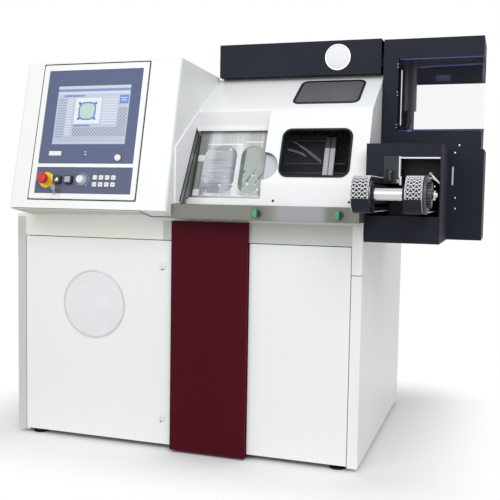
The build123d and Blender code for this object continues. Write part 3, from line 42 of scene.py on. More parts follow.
# Shader building: a term wraps a socket, so that patterns read as plain sums
def operator(operation, reflected=False):
    def applied(term, other=0.0):
        pair = (other, term) if reflected else (term, other)
        return term.finish.math(operation, *pair)
    return applied


class Term:
    def __init__(self, finish, socket):
        self.finish = finish
        self.socket = socket

    __add__ = operator("ADD")
    __radd__ = operator("ADD", True)
    __sub__ = operator("SUBTRACT")
    __rsub__ = operator("SUBTRACT", True)
    __mul__ = operator("MULTIPLY")
    __rmul__ = operator("MULTIPLY", True)
    __truediv__ = operator("DIVIDE")
    __gt__ = operator("GREATER_THAN")
    __lt__ = operator("LESS_THAN")
    __abs__ = operator("ABSOLUTE")
    power = operator("POWER")

    def off(self, other):  # distance from where both are 0
        return (self * self + other * other).power(0.5)

    def wave(self, pitch):  # a saw from 0 to 1 along this value, one tooth a pitch
        return self.finish.math("FRACT", self / pitch)

    def between(self, low, high):  # 1 inside the two limits and 0 outside
        return (self > low) * (self < high)

    def fade(self, low, high):  # 0 below low, 1 above high and a soft step between them
        settings = {"interpolation_type": "SMOOTHSTEP"}
        return self.finish.add("MapRange", settings, {"Value": self, "From Min": low, "From Max": high})


def addNode(tree, kind, settings, inputs):
    node = tree.nodes.new(kind)
    for key, value in settings.items():
        setattr(node, key, value)
    for key, value in inputs.items():
        if isinstance(value, bpy.types.NodeSocket):
            tree.links.new(value, node.inputs[key])
        else:
            node.inputs[key].default_value = value
    return node


class Finish:
    # A material, or the world; the nodes named with it wear it in all their slots
    def __init__(self, name, wearers="", home=bpy.data.materials):
        self.made = home.new(name)
        self.made.use_nodes = True
        self.tree = self.made.node_tree
        self.tree.nodes.clear()
        finishes[name] = self.made
        for wearer in wearers.split():
            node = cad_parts[wearer]
            if not node.material_slots:
                node.data.materials.append(None)
            for slot in node.material_slots:
                slot.material = self.made

    def add(self, kind, settings=None, inputs=None, output=0):
        sockets = {
            key: value.socket if isinstance(value, Term) else value for key, value in (inputs or {}).items()
        }
        node = addNode(self.tree, "ShaderNode" + kind, settings or {}, sockets)
        return Term(self, node.outputs[output]) if node.outputs else None

    def outputs(self, kind, inputs=None):  # all of a node's outputs as terms
        node = self.add(kind, {}, inputs).socket.node
        return [Term(self, socket) for socket in node.outputs]

    def math(self, operation, first, second=0.0):
        return self.add("Math", {"operation": operation}, {0: first, 1: second})

    def point(self):  # object coordinates
        return self.add("TexCoord", output=3)

    def axes(self):  # the three coordinates as terms
        return self.outputs("SeparateXYZ", {0: self.point()})

    def along(self, matrix):  # coordinates in a sloping plane's own frame
        operands = {0: self.point(), 1: matrix.to_translation()}
        moved = self.add("VectorMath", {"operation": "SUBTRACT"}, operands)
        return [
            self.add("VectorMath", {"operation": "DOT_PRODUCT"}, {0: moved, 1: matrix.col[axis][:3]}, 1)
            for axis in range(3)
        ]

    def noise(self, scale, detail=2.0, stretch=(1, 1, 1), rough=0.5):  # stretched along an axis
        spot = self.add("Mapping", {}, {"Vector": self.point(), "Scale": stretch})
        settings = {"Vector": spot, "Scale": scale, "Detail": detail, "Roughness": rough}
        return self.add("TexNoise", {}, settings)

    def mix(self, factor, first, second):  # two colours
        return self.add("Mix", {"data_type": "RGBA"}, {0: factor, 6: first, 7: second}, output=2)

    def layers(self, base, *rows):  # colours laid over a base, each where its mask is 1
        for mask, colour in rows:
            base = self.mix(mask, base, paint(*colour))
        return base

    def bump(self, height, strength, distance):
        return self.add("Bump", {}, {"Height": height, "Strength": strength, "Distance": distance})

    def close(self, base, masks=None, **sockets):  # the principled shader and the output
        names = {key.replace("_", " "): value for key, value in sockets.items()}
        names["Base Color"] = masks(self, base) if masks else base
        self.add("OutputMaterial", {}, {0: self.add("BsdfPrincipled", {}, names)})


def paint(red, green, blue):
    # A colour as it is named on screen, 0 to 255, as a linear one
    def level(value):
        share = value / 255
        return share / 12.92 if share <= 0.04045 else ((share + 0.055) / 1.055) ** 2.4
    return (level(red), level(green), level(blue), 1)


def shaded(colour, share):
    return tuple(part * share for part in paint(*colour)[:3]) + (1,)


def turned(across, up, out):
    # The turn that takes x, y and z to these three directions
    return Matrix((across, up, out)).transposed().to_4x4()


# Planes that the small pieces lie in: x across, y up the slope and z out of it
def slopeFrame(origin, lean):
    turn = turned((1, 0, 0), (0, sin(lean), cos(lean)), (0, -cos(lean), sin(lean)))
    return Matrix.Translation(origin) @ turn


def edges(name):
    low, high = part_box(name)
    return Vector(low), Vector(high)


def frontOf(name):
    # The upright plane of a node's front
    return slopeFrame((0, edges(name)[0].y, 0), 0)


deckLow, deckHigh = edges("top_deck")
hoodLow = edges("hood_skin")[0]
consoleLow = edges("console_housing")[0]
frontY = deckLow.y
deckTop = deckHigh.z
consoleFoot = 0.027
slopes = {"console": radians(13.55), "hood": radians(22.053), "band": radians(7.45)}
consoleFrame = slopeFrame((consoleLow.x, consoleLow.y, deckTop + consoleFoot), slopes["console"])
hoodFrame = slopeFrame((hoodLow.x, frontY + 0.039, deckTop + 0.130), slopes["hood"])
bandFrame = slopeFrame((0, frontY + 0.022, deckTop), slopes["band"])
world = Matrix.Identity(4)
sideways = turned((0, 1, 0), (0, 0, 1), (1, 0, 0))


# Finishes
powder = {"peelScale": 900, "peelDepth": 0.00006, "patchScale": 1.6, "smudgeScale": 9}
steel = {"lineScale": 700, "cloudScale": 6, "lineDepth": 0.00005}
plastic = {"grainScale": 1500, "cloudScale": 20, "grainDepth": 0.00005}


def powderCoat(name, wearers, colour, roughness, tone=0.02, gloss=0.5, masks=None):
    # Sprayed and baked paint: fine peel, slow tone changes and faint wipe marks
    finish = Finish(name, wearers)
    patch = finish.noise(powder["patchScale"], 3)
    smudge = finish.noise(powder["smudgeScale"], 4, (1, 1, 0.35))
    peel = finish.noise(powder["peelScale"], 1)
    base = finish.mix(patch, shaded(colour, 1 - tone), shaded(colour, 1 + tone))
    rough = roughness + (smudge - 0.5) * 0.12
    normal = finish.bump(peel, 0.3, powder["peelDepth"])
    finish.close(base, masks, Roughness=rough, Normal=normal, Specular_IOR_Level=gloss)


def brushed(name, wearers, colour, roughness, along=(1, 1, 1), metal=1.0, masks=None):
    # Steel with fine lines; along is small on the axis that the lines follow
    finish = Finish(name, wearers)
    lines = finish.noise(steel["lineScale"], 2, along)
    cloud = finish.noise(steel["cloudScale"], 3)
    base = finish.mix(lines * 0.5 + cloud * 0.5, shaded(colour, 0.9), shaded(colour, 1.08))
    rough = roughness + (lines - 0.5) * 0.18 + (cloud - 0.5) * 0.1
    normal = finish.bump(lines, 0.25, steel["lineDepth"])
    finish.close(base, masks, Metallic=metal, Roughness=rough, Normal=normal)


def moulded(name, wearers, colour, roughness, gloss=0.5, masks=None):
    # Moulded plastic or rubber with a fine grain
    finish = Finish(name, wearers)
    spots = finish.noise(plastic["grainScale"], 2)
    cloud = finish.noise(plastic["cloudScale"], 2)
    base = finish.mix(cloud, shaded(colour, 0.93), shaded(colour, 1.06))
    rough = roughness + (spots - 0.5) * 0.14
    normal = finish.bump(spots, 0.3, plastic["grainDepth"])
    finish.close(base, masks, Roughness=rough, Normal=normal, Specular_IOR_Level=gloss)


def pane(name, wearers, colour, opacity, roughness, streak, masks, gloss):
    # A pane that lets light through by its alpha, with a film of dried spray on it
    finish = Finish(name, wearers)
    film = finish.noise(14, 4, (1, 1, 0.25))
    drops = finish.noise(90, 3)
    base = finish.mix(film, shaded(colour, 0.82), shaded(colour, 1.12))
    alpha = opacity + (film - 0.5) * streak + (drops - 0.5) * streak * 0.4
    base, alpha = masks(finish, base, alpha)
    rough = roughness + (film - 0.5) * 0.06
    finish.close(base, Roughness=rough, Alpha=alpha, Specular_IOR_Level=gloss)


# Masks: where a finish has another colour. The far limits leave a band open on that side
far = 9
grip = {"across": 0.287, "up": 0.0701, "radius": 0.0565, "rim": 0.0018}
caps = {"collars": (0.1505, 0.4385), "face": -0.4779}
cheekFoot = Vector((0, -0.392, 0.9365))
cheekTop = Vector((0, -0.2285, 1.2135))


def banded(axis, *rows, plane=None, share=1):
    # Bands along one axis, each from low to high in its own colour
    def masked(finish, base):
        value = (finish.along(plane) if plane else finish.axes())[axis]
        return finish.layers(base, *((value.between(low, high) * share, tone) for low, high, tone in rows))
    return masked


def hoodShadeMasks(finish, base):
    # Painted shade on the opening's reveal, a little on the header over it, and on the grip cup, with a
    # lilac tint and a darker thin rim
    across, up, out = finish.along(hoodFrame)
    away = (across - grip["across"]).off(up - grip["up"])
    near = away < grip["radius"]
    rim = near * (1 - (away < grip["radius"] - grip["rim"]))
    # The reveal is painted dark: painted shade
    reveal = across.between(-0.02, 0.008) * up.between(-0.06, 0.192) * out.between(-0.05, -0.001)
    # The header is painted a little grey: painted shade, as it faces level
    header = across.between(-0.001, 0.295) * up.between(0.192, 0.296) * out.between(-0.02, -0.0005)
    return finish.layers(
        base,
        (reveal, (112, 112, 108)),
        (header, (233, 234, 234)),
        # The grip cup's floor and its rim are painted shade
        (near * out.between(-0.03, -0.0012), (203, 204, 214)),
        (rim * out.between(-0.03, -0.0002), (120, 120, 130)),
    )


def doorLightAndShade(finish, base):
    # Brushed steel in bands of painted light and shade: grey in painted shade down its left, paler to the
    # right, painted highlight lines near the top and white low down
    across, up, out = finish.along(hoodFrame)
    ragged = finish.noise(55, 4, rough=0.7) - 0.5
    drawn = finish.noise(160, 2, (1, 0.03, 0.03)) - 0.5
    x = across + ragged * 0.012
    y = up + ragged * 0.02
    # Two painted highlight lines near the top
    gleam = up.between(0.1772, 0.1808) * x.between(0.04, 0.186)
    gleam = gleam + up.between(0.186, 0.1895) * x.between(0.19, 0.262)
    whitePatch = (x < 0.035) * y.between(0.108, 0.134) + (x < 0.03) * (y < -0.005)
    return finish.layers(
        base,
        # Painted shade at the left, painted light further right and grey again at the right edge
        (x.fade(0.035, 0.062), (214, 218, 219)),
        (x.fade(0.075, 0.11), (188, 193, 191)),
        (x.fade(0.125, 0.15), (198, 200, 200)),
        (x.fade(0.19, 0.2), (178, 181, 178)),
        (x.fade(0.262, 0.27), (146, 148, 146)),
        (across.between(0.160, 0.184) * (up < 0.18), (216, 219, 220)),
        (gleam * 0.9, (248, 250, 250)),
        (drawn.fade(0.02, 0.2) * 0.35, (240, 242, 242)),
        (finish.math("MAXIMUM", 1 - y.fade(-0.036, -0.028), whitePatch), (244, 246, 246)),
    )


def railMasks(finish, base):
    # Two darker stretches by the buttons, and a painted cooler reflection between them
    across = finish.axes()[0]
    darkStretches = across.between(0.124, 0.176) + across.between(0.396, 0.470)
    cool = across.fade(0.18, 0.24) * (1 - across.fade(0.37, 0.4))
    return finish.layers(base, (cool * 0.7, (156, 158, 164)), (darkStretches * 0.7, (112, 112, 106)))


def capMasks(finish, base):
    # A lit cap in a black collar: only its face has the colour
    across, depth, height = finish.axes()
    left, right = [(across - collar).between(-0.0005, 0.03) for collar in caps["collars"]]
    return finish.layers(base, ((depth < caps["face"]) * (1 - (left + right)), (58, 166, 122)))


def cheekLightAndShade(finish, base):
    # Painted light makes the cheek paler, and painted shade darkens its inner face behind the double strip,
    # where the door runs
    way = (cheekTop - cheekFoot).normalized()
    across, depth, height = finish.axes()
    behind = (depth - cheekFoot.y) * way.z - (height - cheekFoot.z) * way.y > 0.0142
    inner = behind * (height < 1.2) * (across > -0.1705)
    return finish.layers(base, (0.8, (255, 255, 255)), (inner, (118, 118, 114)))


def lockMasks(finish, base):
    # White lock faces with a dark dot in the middle: painted shade of the key slot
    across, depth, height = finish.axes()
    low, high = edges("upper_lock")
    beside = across - (low.x + high.x) / 2
    slot = 0
    for lock in ("upper_lock", "lower_lock"):
        low, high = edges(lock)
        slot = slot + (beside.off(height - (low.z + high.z) / 2) < 0.0046)
    return finish.layers(base, (slot, (38, 40, 42)))


def towerMasks(finish, base):
    # Inside the loader's covers hardly any light arrives
    across, depth, height = finish.axes()
    inside = depth.between(-0.0205, 0.2265) * across.between(0.505, 0.8655) * height.between(1.16, 1.566)
    post = across.between(0.608, 0.638) * (height > 1.395)
    shade = finish.mix(post, paint(22, 21, 25), paint(48, 51, 51))
    return finish.mix(inside, base, shade)


def linerShadeMasks(finish, base):
    # Right of the door the lining is painted dark: painted shade inside the chamber
    return finish.layers(base, (finish.axes()[0].fade(0.10, 0.16), (36, 38, 42)))


def doorPaneLightAndShade(finish, base, alpha):
    # Panes in painted reflection and shade: level streaks, a bright left side as a painted reflection, a
    # dark right one in painted shade, and bright blotches
    across, up, out = finish.along(hoodFrame)
    streak = finish.noise(150, 2, (0.05, 1, 1)) - 0.5
    ragged = finish.noise(60, 4, rough=0.7) - 0.5
    x = across + ragged * 0.01
    y = up + ragged * 0.02
    large = finish.layers(
        paint(232, 237, 239),
        (x.fade(0.055, 0.085), (196, 199, 207)),
        (x.fade(0.135, 0.16), (136, 136, 143)),
        ((1 - y.fade(0.0, 0.05)) * (x < 0.11) * 0.75, (152, 149, 160)),
        (streak.fade(0.04, 0.2) * 0.5, (240, 242, 246)),
        ((0 - streak).fade(0.06, 0.2) * 0.35, (120, 120, 128)),
    )
    slant = (x * 1.3 - y * 0.8).wave(0.05)
    stroke = (slant < 0.2) * y.between(0.005, 0.075) * finish.noise(70, 3).fade(0.42, 0.56)
    small = finish.mix(stroke * 0.9, paint(190, 197, 191), paint(96, 106, 100))
    small = finish.mix(x < 0.197, small, paint(122, 130, 127))
    tone = finish.mix(across > 0.17, large, small)
    drops = finish.noise(42, 5, rough=0.75)
    brightBlotches = drops.fade(0.585, 0.63) * (1 - up.fade(0.05, 0.12)) + drops.fade(0.6, 0.64) * (up > 0.15)
    return finish.layers(tone, (brightBlotches, (250, 251, 252))), alpha + brightBlotches * 0.2


def tintMasks(finish, base, alpha):
    # The roof window mirrors the pale room, a little uneven
    roof = finish.axes()[2] > 1.289
    cloud = finish.noise(18, 2) - 0.5
    tone = finish.mix(cloud * 0.3 + 0.5, paint(96, 95, 101), paint(108, 108, 112))
    return finish.mix(roof, base, tone), alpha + roof * (0.97 - alpha)


def guardReflections(finish, base, alpha):
    # The clear guard's cut edges carry a painted violet sheen, and its pane a painted reflection of one
    # level line
    across, depth, height = finish.axes()
    edge = (height > 1.4925) + (height < 1.2275) + (across > 0.8655) * 0.22
    rise = height - 1.462 - (across - 0.633) * 0.028
    line = rise.between(-0.0012, 0.0012) * across.between(0.633, 0.852)
    glow = (1 - abs(across - 0.725).fade(0.018, 0.036)) * (1 - abs(height - 1.42).fade(0.006, 0.016))
    # A faint painted glow near the middle of the pane
    edge = edge + line * 0.8 + glow * 0.6 * finish.noise(60, 2)
    return finish.layers(base, (edge, (112, 104, 186))), alpha + edge * 0.45


# Each finish with the nodes that wear it
white = (246, 247, 246)
drawnUp = (1, 1, 0.03)
drawnAcross = (0.02, 1, 1)
shell = "side_panels rear_panel top_deck right_front_panel console_housing console_bezel left_door"
covers = "gantry_cover tower_frame lower_box front_box conveyor_bracket"
whites = "override_knob key_1 key_2 key_3 key_4 key_5 key_6 key_7 key_8"
postShade = banded(0, (-far, -0.8417, (206, 207, 206)))  # it turns away from the light
fasciaPaintedLight = banded(0, (-far, -0.25, (246, 249, 240)))  # painted light: paler under the console
panelShade = banded(1, (-far, 0.155, (99, 104, 126)), plane=consoleFrame, share=0.7)  # the lower one
ringShade = banded(0, (0.27, 0.34, (158, 162, 176)), plane=consoleFrame)  # the knob's ring
cupShade = banded(2, (-far, 1.2441, (150, 140, 190)))  # the cup under the gripper's arm
clothShade = banded(0, (-far, 0.49, (58, 59, 66)), plane=hoodFrame)  # left of the strips, where the painted shade sheet is paler
stripShade = banded(1, (0.1795, far, (96, 97, 99)), plane=hoodFrame)  # above, in shadow
blockingRing = (-0.0028, 0.0094, (58, 60, 68))
lensBlank = (0.0094, 0.03, (150, 190, 186))
cutterShade = (0.15, 0.1798, (92, 92, 96))
powderCoat("whitePaint", shell, white, 0.36)
powderCoat("hoodPaint", "hood_skin", white, 0.36, masks=hoodShadeMasks)
powderCoat("cheekPaint", "hood_cheek", white, 0.36, masks=cheekLightAndShade)
powderCoat("postPaint", "front_posts", white, 0.36, masks=postShade)
# The fascia's grey is painted shade under the console and rail; its left part is lifted with painted light
powderCoat("fasciaPaint", "front_fascias control_cabinet", (210, 214, 207), 0.4, masks=fasciaPaintedLight)
# Olive grey standing for the shade under the console: painted shade
powderCoat("trayPaint", "", (196, 200, 184), 0.45)
powderCoat("maroonPaint", "centre_panel", (76, 10, 26), 0.5, 0.05, 0.08)
powderCoat("darkPaint", covers, (41, 44, 53), 0.55, 0.06, 0.08, towerMasks)
powderCoat("framePaint", "base_frame", (112, 116, 118), 0.45, 0.05)
powderCoat("castPaint", "machine_bed tool_slide", (140, 146, 148), 0.5, 0.06)
powderCoat("panelBlue", "monitor_panel control_panel", (98, 106, 137), 0.45, 0.03, 0.15, panelShade)
powderCoat("platePaint", "", (66, 69, 71), 0.5, 0.04, 0.1)
brushed("railSteel", "guard_rail", (122, 123, 114), 0.5, drawnAcross, 0.6, railMasks)
brushed("doorSteel", "sliding_door", (146, 147, 144), 0.45, drawnUp, 0.2, doorLightAndShade)
brushed("sheetSteel", "door_guides", (150, 151, 150), 0.4, drawnUp)
brushed("linerSteel", "chamber_liner", (150, 151, 150), 0.5, drawnUp, 0.3, linerShadeMasks)
brushed("turnedSteel", "key_barrel", (205, 206, 207), 0.26, (1, 0.2, 0.2))
brushed("spindleSteel", "work_spindle tool_spindle", (200, 201, 204), 0.28, (1, 0.2, 0.2), 0.9,
        banded(0, blockingRing, lensBlank, cutterShade))
brushed("shaftSteel", "conveyor_shaft", (206, 207, 206), 0.25, (1, 0.1, 0.1))
brushed("darkSteel", "drive_pulley", (84, 86, 88), 0.45)
brushed("profileMetal", "loader_beam loader_carriage", (84, 87, 92), 0.45, (0.03, 1, 1), 0.6)
brushed("armMetal", "gripper", (30, 34, 38), 0.5, drawnUp, 0.2, cupShade)
brushed("foldSteel", "", (236, 237, 240), 0.4, metal=0.0)
brushed("railGrey", "", (104, 106, 110), 0.5, metal=0.2)
brushed("stripSteel", "", (232, 233, 236), 0.4, drawnUp, 0.0, stripShade)
moulded("lockFace", "upper_lock lower_lock", (236, 237, 237), 0.35, masks=lockMasks)
moulded("housingPlastic", "switch_bodies", (26, 27, 30), 0.4, masks=ringShade)
moulded("sealRubber", "window_seals", (20, 20, 23), 0.6, 0.3)
moulded("blackPlastic", "levelling_feet conveyor_belts", (20, 20, 24), 0.42, 0.35)
moulded("pleatCloth", "way_cover", (40, 40, 43), 0.7, 0.3)
# A dark sheet standing for the chamber's shade: painted shade
moulded("curtainCloth", "", (24, 24, 24), 0.7, 0.1, clothShade)
moulded("whitePlastic", whites, (238, 238, 240), 0.38)
moulded("lilacPlastic", "", (170, 166, 204), 0.45)
moulded("lampPlastic", "lamp_button", (176, 178, 188), 0.3)
moulded("yellowPlastic", "estop_collar", (246, 206, 14), 0.34)
moulded("redPlastic", "estop_button", (206, 32, 34), 0.3)
moulded("capPlastic", "left_start_button right_start_button", (18, 20, 22), 0.35, masks=capMasks)
moulded("limePlastic", "", (138, 168, 52), 0.4)
pane("clearPane", "door_panes", (200, 203, 210), 0.82, 0.12, 0.3, doorPaneLightAndShade, 0.3)
pane("tintedPane", "window_panes", (16, 17, 19), 0.12, 0.4, 0.04, tintMasks, 0.08)
pane("guardPane", "clear_guard", (96, 100, 118), 0.045, 0.05, 0.02, guardReflections, 0.1)


def screenFinish():
    # A lit control page: title bar, list, drawing field with a ring, fields, button and status bars
    finish = Finish("screenGlow", "touch_screen")
    across, up, out = finish.along(consoleFrame)
    u = (across - 0.155) / 0.304
    v = (up - 0.2445) / 0.228

    def area(left, right, low, high):
        return u.between(left, right) * v.between(low, high)

    lines = v.wave(0.045) > 0.62
    offU = abs(u - 0.435) / 0.12
    offV = abs(v - 0.565) / 0.155
    ring = (offU.power(3.2) + offV.power(3.2)).power(0.3125)
    hatchField = area(0.26, 0.86, 0.13, 0.285) + area(0.86, 0.985, 0.13, 0.62)
    hatch = (u * 1.35 + v).wave(0.055) > 0.5
    tone = finish.layers(
        finish.mix(v, paint(188, 202, 226), paint(206, 216, 234)),
        (area(0, 1, 0.955, 1), (214, 222, 238)),
        (area(0, 1, 0.905, 0.945), (112, 150, 214)),
        (area(0.02, 0.98, 0.86, 0.89), (226, 232, 244)),
        (area(0.09, 0.38, 0.81, 0.845) * (u.wave(0.022) > 0.35), (58, 96, 190)),
        (area(0.02, 0.14, 0.12, 0.8) * lines, (150, 164, 190)),
        (area(0.15, 0.23, 0.14, 0.8) * lines, (236, 240, 248)),
        (area(0.26, 0.62, 0.35, 0.79), (244, 247, 252)),
        (ring < 1.0, (200, 226, 214)),
        (ring.between(0.84, 1.0), (84, 134, 216)),
        (offU.between(0.78, 1.06) * offV.between(0.72, 0.98), (70, 116, 206)),
        (area(0.64, 0.84, 0.33, 0.8) * lines, (232, 238, 247)),
        (area(0.26, 0.5, 0.30, 0.33) * (u.wave(0.03) > 0.3), (70, 106, 192)),
        (hatchField, (196, 204, 216)),
        (hatchField * hatch, (146, 154, 170)),
        (area(0.865, 0.985, 0.68, 0.83), (86, 140, 226)),
        (area(0.885, 0.965, 0.73, 0.75) + area(0.885, 0.965, 0.77, 0.79), (206, 222, 246)),
        (area(0, 1, 0, 0.11), (198, 208, 226)),
        (area(0.02, 0.98, 0.055, 0.062) + area(0.02, 0.98, 0.095, 0.1), (150, 162, 188)),
    )
    rough = 0.18 + finish.noise(30, 2) * 0.06
    finish.close(paint(16, 18, 22), Roughness=rough, Emission_Color=tone, Emission_Strength=0.86)


screenFinish()
print("stage: finishes made,", len(finishes))


# Shapes: every small piece is built from outlines stacked at several heights
def roundRect(width, height, corner, centre=(0, 0), steps=6):
    def outline(inset=0.0):
        halfX = width / 2 - inset
        halfY = height / 2 - inset
        bend = max(corner - inset, 0.00005)
        spots = []
        for quarter, (signX, signY) in enumerate(((1, 1), (-1, 1), (-1, -1), (1, -1))):
            for step in range(steps + 1):
                angle = (quarter + step / steps) * pi / 2
                spots.append((
                    centre[0] + signX * (halfX - bend) + bend * cos(angle),
                    centre[1] + signY * (halfY - bend) + bend * sin(angle),
                ))
        return spots
    return outline


def disc(radius, centre=(0, 0), steps=40):
    def outline(inset=0.0):
        reach = max(radius - inset, 0.00005)
        return [
            (centre[0] + reach * cos(2 * pi * step / steps), centre[1] + reach * sin(2 * pi * step / steps))
            for step in range(steps)
        ]
    return outline


def skin(shape, rows, ring=False):
    # Quads from row to row; a ring joins its last row to its first and has no caps
    pairs = list(zip(rows, rows[1:])) + ([(rows[-1], rows[0])] if ring else [])
    for lower, upper in pairs:
        for spot in range(len(lower)):
            after = (spot + 1) % len(lower)
            shape.faces.new((lower[spot], lower[after], upper[after], upper[spot]))
    if not ring:
        shape.faces.new(rows[0][::-1])
        shape.faces.new(rows[-1])


def stack(shape, outline, levels, ring=False):
    # levels are (inset, height) pairs
    rows = [[shape.verts.new((x, y, height)) for x, y in outline(inset)] for inset, height in levels]
    skin(shape, rows, ring)


def bar(shape, low, high):
    # An upright block between two corners
    spots = ((low[0], low[1]), (high[0], low[1]), (high[0], high[1]), (low[0], high[1]))
    skin(shape, [[shape.verts.new((x, y, height)) for x, y in spots] for height in (low[2], high[2])])


def strut(shape, start, end, width, low, high):
    # A flat bar between two points of a plane
    ahead = Vector((end[0] - start[0], end[1] - start[1])).normalized()
    side = Vector((-ahead.y, ahead.x)) * width / 2
    spots = [Vector(start) + side, Vector(start) - side, Vector(end) - side, Vector(end) + side]
    skin(shape, [[shape.verts.new((spot.x, spot.y, height)) for spot in spots] for height in (low, high)])


def tube(shape, spots, radius, steps=10, closed=False):
    # A round wire along a row of points
    rows = []
    count = len(spots)
    for place, spot in enumerate(spots):
        before = Vector(spots[place - 1] if place or closed else spot)
        after = Vector(spots[(place + 1) % count] if place < count - 1 or closed else spot)
        ahead = (after - before).normalized()
        side = ahead.orthogonal().normalized()
        if rows:
            side = (lastSide - ahead * lastSide.dot(ahead)).normalized()
        lastSide = side
        other = ahead.cross(side)
        rows.append([
            shape.verts.new(Vector(spot) + (side * cos(turn) + other * sin(turn)) * radius)
            for turn in (2 * pi * step / steps for step in range(steps))
        ])
    skin(shape, rows, closed)


def eased(low, shoulder, inset, top):
    # Levels of a block whose upper edge is eased
    return [(0, low), (0, shoulder), (inset, top)]


def meshOf(name, *forms):
    # Forms are shape functions, each with what it takes
    shape = bmesh.new()
    for form, *settings in forms:
        form(shape, *settings)
    bmesh.ops.recalc_face_normals(shape, faces=shape.faces)
    mesh = bpy.data.meshes.new(name)
    shape.to_mesh(mesh)
    shape.free()
    return mesh


def addMesh(name, finish, mesh, body="machine"):
    mesh.shade_smooth()
    mesh.set_sharp_from_angle(angle=radians(32))
    piece = bpy.data.objects.new(name, mesh)
    bpy.context.scene.collection.objects.link(piece)
    if not mesh.materials:
        mesh.materials.append(finishes[finish])
    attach(piece, body)


def addPiece(name, finish, place, *forms, body="machine"):
    mesh = meshOf(name, *forms)
    mesh.transform(place)
    addMesh(name, finish, mesh, body)


def addBlock(name, finish, place, size, corner, centre, levels):
    # A rounded block with an eased upper edge
    addPiece(name, finish, place, (stack, roundRect(*size, corner, centre), eased(*levels)))


# Geometry Nodes: rows of links round a belt's loop, and heads set on a row of points
class Grower:
    def __init__(self, name, output, **inputs):
        self.tree = bpy.data.node_groups.new(name, "GeometryNodeTree")
        self.sockets = {key: self.socket(key, kind, "INPUT") for key, kind in inputs.items()}
        self.socket(output, "Geometry", "OUTPUT")
        self.start = self.add("NodeGroupInput").outputs

    def socket(self, name, kind, direction):
        made = self.tree.interface.new_socket(name, in_out=direction, socket_type="NodeSocket" + kind)
        return made.identifier

    def add(self, kind, settings=None, inputs=None):
        return addNode(self.tree, kind, settings or {}, inputs or {})

    def close(self, points, instance, turn):
        # Sets the instance on the points, as plain mesh in its own material
        setting = {"Points": points, "Instance": instance, "Rotation": turn}
        copies = self.add("GeometryNodeInstanceOnPoints", {}, setting)
        solid = self.add("GeometryNodeRealizeInstances", {}, {0: copies.outputs[0]})
        worn = {"Geometry": solid.outputs[0], "Material": self.start["Finish"]}
        finished = self.add("GeometryNodeSetMaterial", {}, worn)
        self.add("NodeGroupOutput", {}, {0: finished.outputs[0]})
        return self

    def grow(self, name, base, values):
        # Runs the group once on a hidden object and gives back a plain mesh
        holder = bpy.data.objects.new(name, base)
        bpy.context.scene.collection.objects.link(holder)
        modifier = holder.modifiers.new(name, "NODES")
        modifier.node_group = self.tree
        for key, value in values.items():
            modifier[self.sockets[key]] = value
        graph = bpy.context.evaluated_depsgraph_get()
        mesh = bpy.data.meshes.new_from_object(holder.evaluated_get(graph))
        holder.modifiers.remove(modifier)
        bpy.data.objects.remove(holder)
        return mesh


def beltGrower():
    # The input mesh is one link, x across the belt, y along it and z outward
    kinds = {"Link": "Geometry", "Run": "Float", "Height": "Float", "Count": "Int", "Finish": "Material"}
    grower = Grower("beltLoop", "Belt", **kinds)
    run, height = grower.start["Run"], grower.start["Height"]
    half = grower.add("ShaderNodeMath", {"operation": "DIVIDE"}, {0: height, 1: 2.0}).outputs[0]
    length = grower.add("ShaderNodeMath", {"operation": "ADD"}, {0: run, 1: height}).outputs[0]
    loop = grower.add("GeometryNodeCurvePrimitiveQuadrilateral", {}, {"Width": length, "Height": height})
    bends = grower.add(
        "GeometryNodeFilletCurve", {"mode": "POLY"},
        {"Curve": loop.outputs[0], "Count": 24, "Radius": half, "Limit Radius": True},
    )
    spaced = {"Curve": bends.outputs[0], "Count": grower.start["Count"]}
    rows = grower.add("GeometryNodeResampleCurve", {}, spaced)
    tangent = grower.add("GeometryNodeInputTangent").outputs[0]
    turn = grower.add(
        "FunctionNodeAxesToRotation", {"primary_axis": "Y", "secondary_axis": "X"},
        {0: tangent, 1: (0.0, 0.0, 1.0)},
    )
    return grower.close(rows.outputs[0], grower.start["Link"], turn.outputs[0])


def headGrower():
    # The input mesh is a row of loose points; a head is set on each, facing one way
    kinds = {"Places": "Geometry", "Head": "Object", "Turn": "Rotation", "Finish": "Material"}
    grower = Grower("screwHeads", "Heads", **kinds)
    start = grower.start
    head = grower.add("GeometryNodeObjectInfo", {}, {"Object": start["Head"]})
    return grower.close(start["Places"], head.outputs["Geometry"], start["Turn"])


beltLoop = beltGrower()
screwHeads = headGrower()
socketHead = ((0, 0), (0, 0.35), (0.12, 0.75), (0.4, 1), (0.56, 1), (0.6, 0.45))


def addScrews(name, places, facing, finish, radius=0.0035, height=0.0018):
    # Button heads with a hollow socket; facing is the direction that their own z axis is turned to
    base = bpy.data.meshes.new(name)
    base.from_pydata(places, [], [])
    levels = [(radius * inset, height * level) for inset, level in socketHead]
    head = meshOf("screwHead", (stack, disc(radius, steps=20), levels))
    holder = bpy.data.objects.new(name + "Head", head)
    turn = Vector((0, 0, 1)).rotation_difference(Vector(facing)).to_euler()
    mesh = screwHeads.grow(name, base, {"Head": holder, "Turn": turn, "Finish": finishes[finish]})
    bpy.data.objects.remove(holder)
    addMesh(name, finish, mesh)


# Console face: gasket, bare label, indicator windows, cap, knob scale, key marks and key ring
consoleSizes = {
    "plate": 0.004, "mark": 0.0002,
    "bezel": (0.085, 0.0345, 0.439, 0.523), "gasket": (0.0052, 0.0012, 0.0042),
    "label": {"size": (0.052, 0.017), "centre": (0.1753, 0.2089)},
    "indicators": ((0.3025, 0.2145), (0.304, 0.2037)), "indicatorSize": (0.010, 0.0028),
    "cap": (0.4394, 0.1914, 0.0125, 0.009),
    "capLevels": ((0, 0), (0, 0.55), (0.0008, 0.8), (0.0026, 0.94), (0.0055, 1), (0.0125, 1)),
    "knob": (0.304, 0.106), "tickFrom": 0.0225, "tickTo": 0.0275, "tickWidth": 0.0014, "ticks": 13,
    "keys": (0.3945, 0.1035, 0.025, 0.026), "keyLevel": 0.010, "markWidth": 0.0013, "markHalf": 0.003,
}


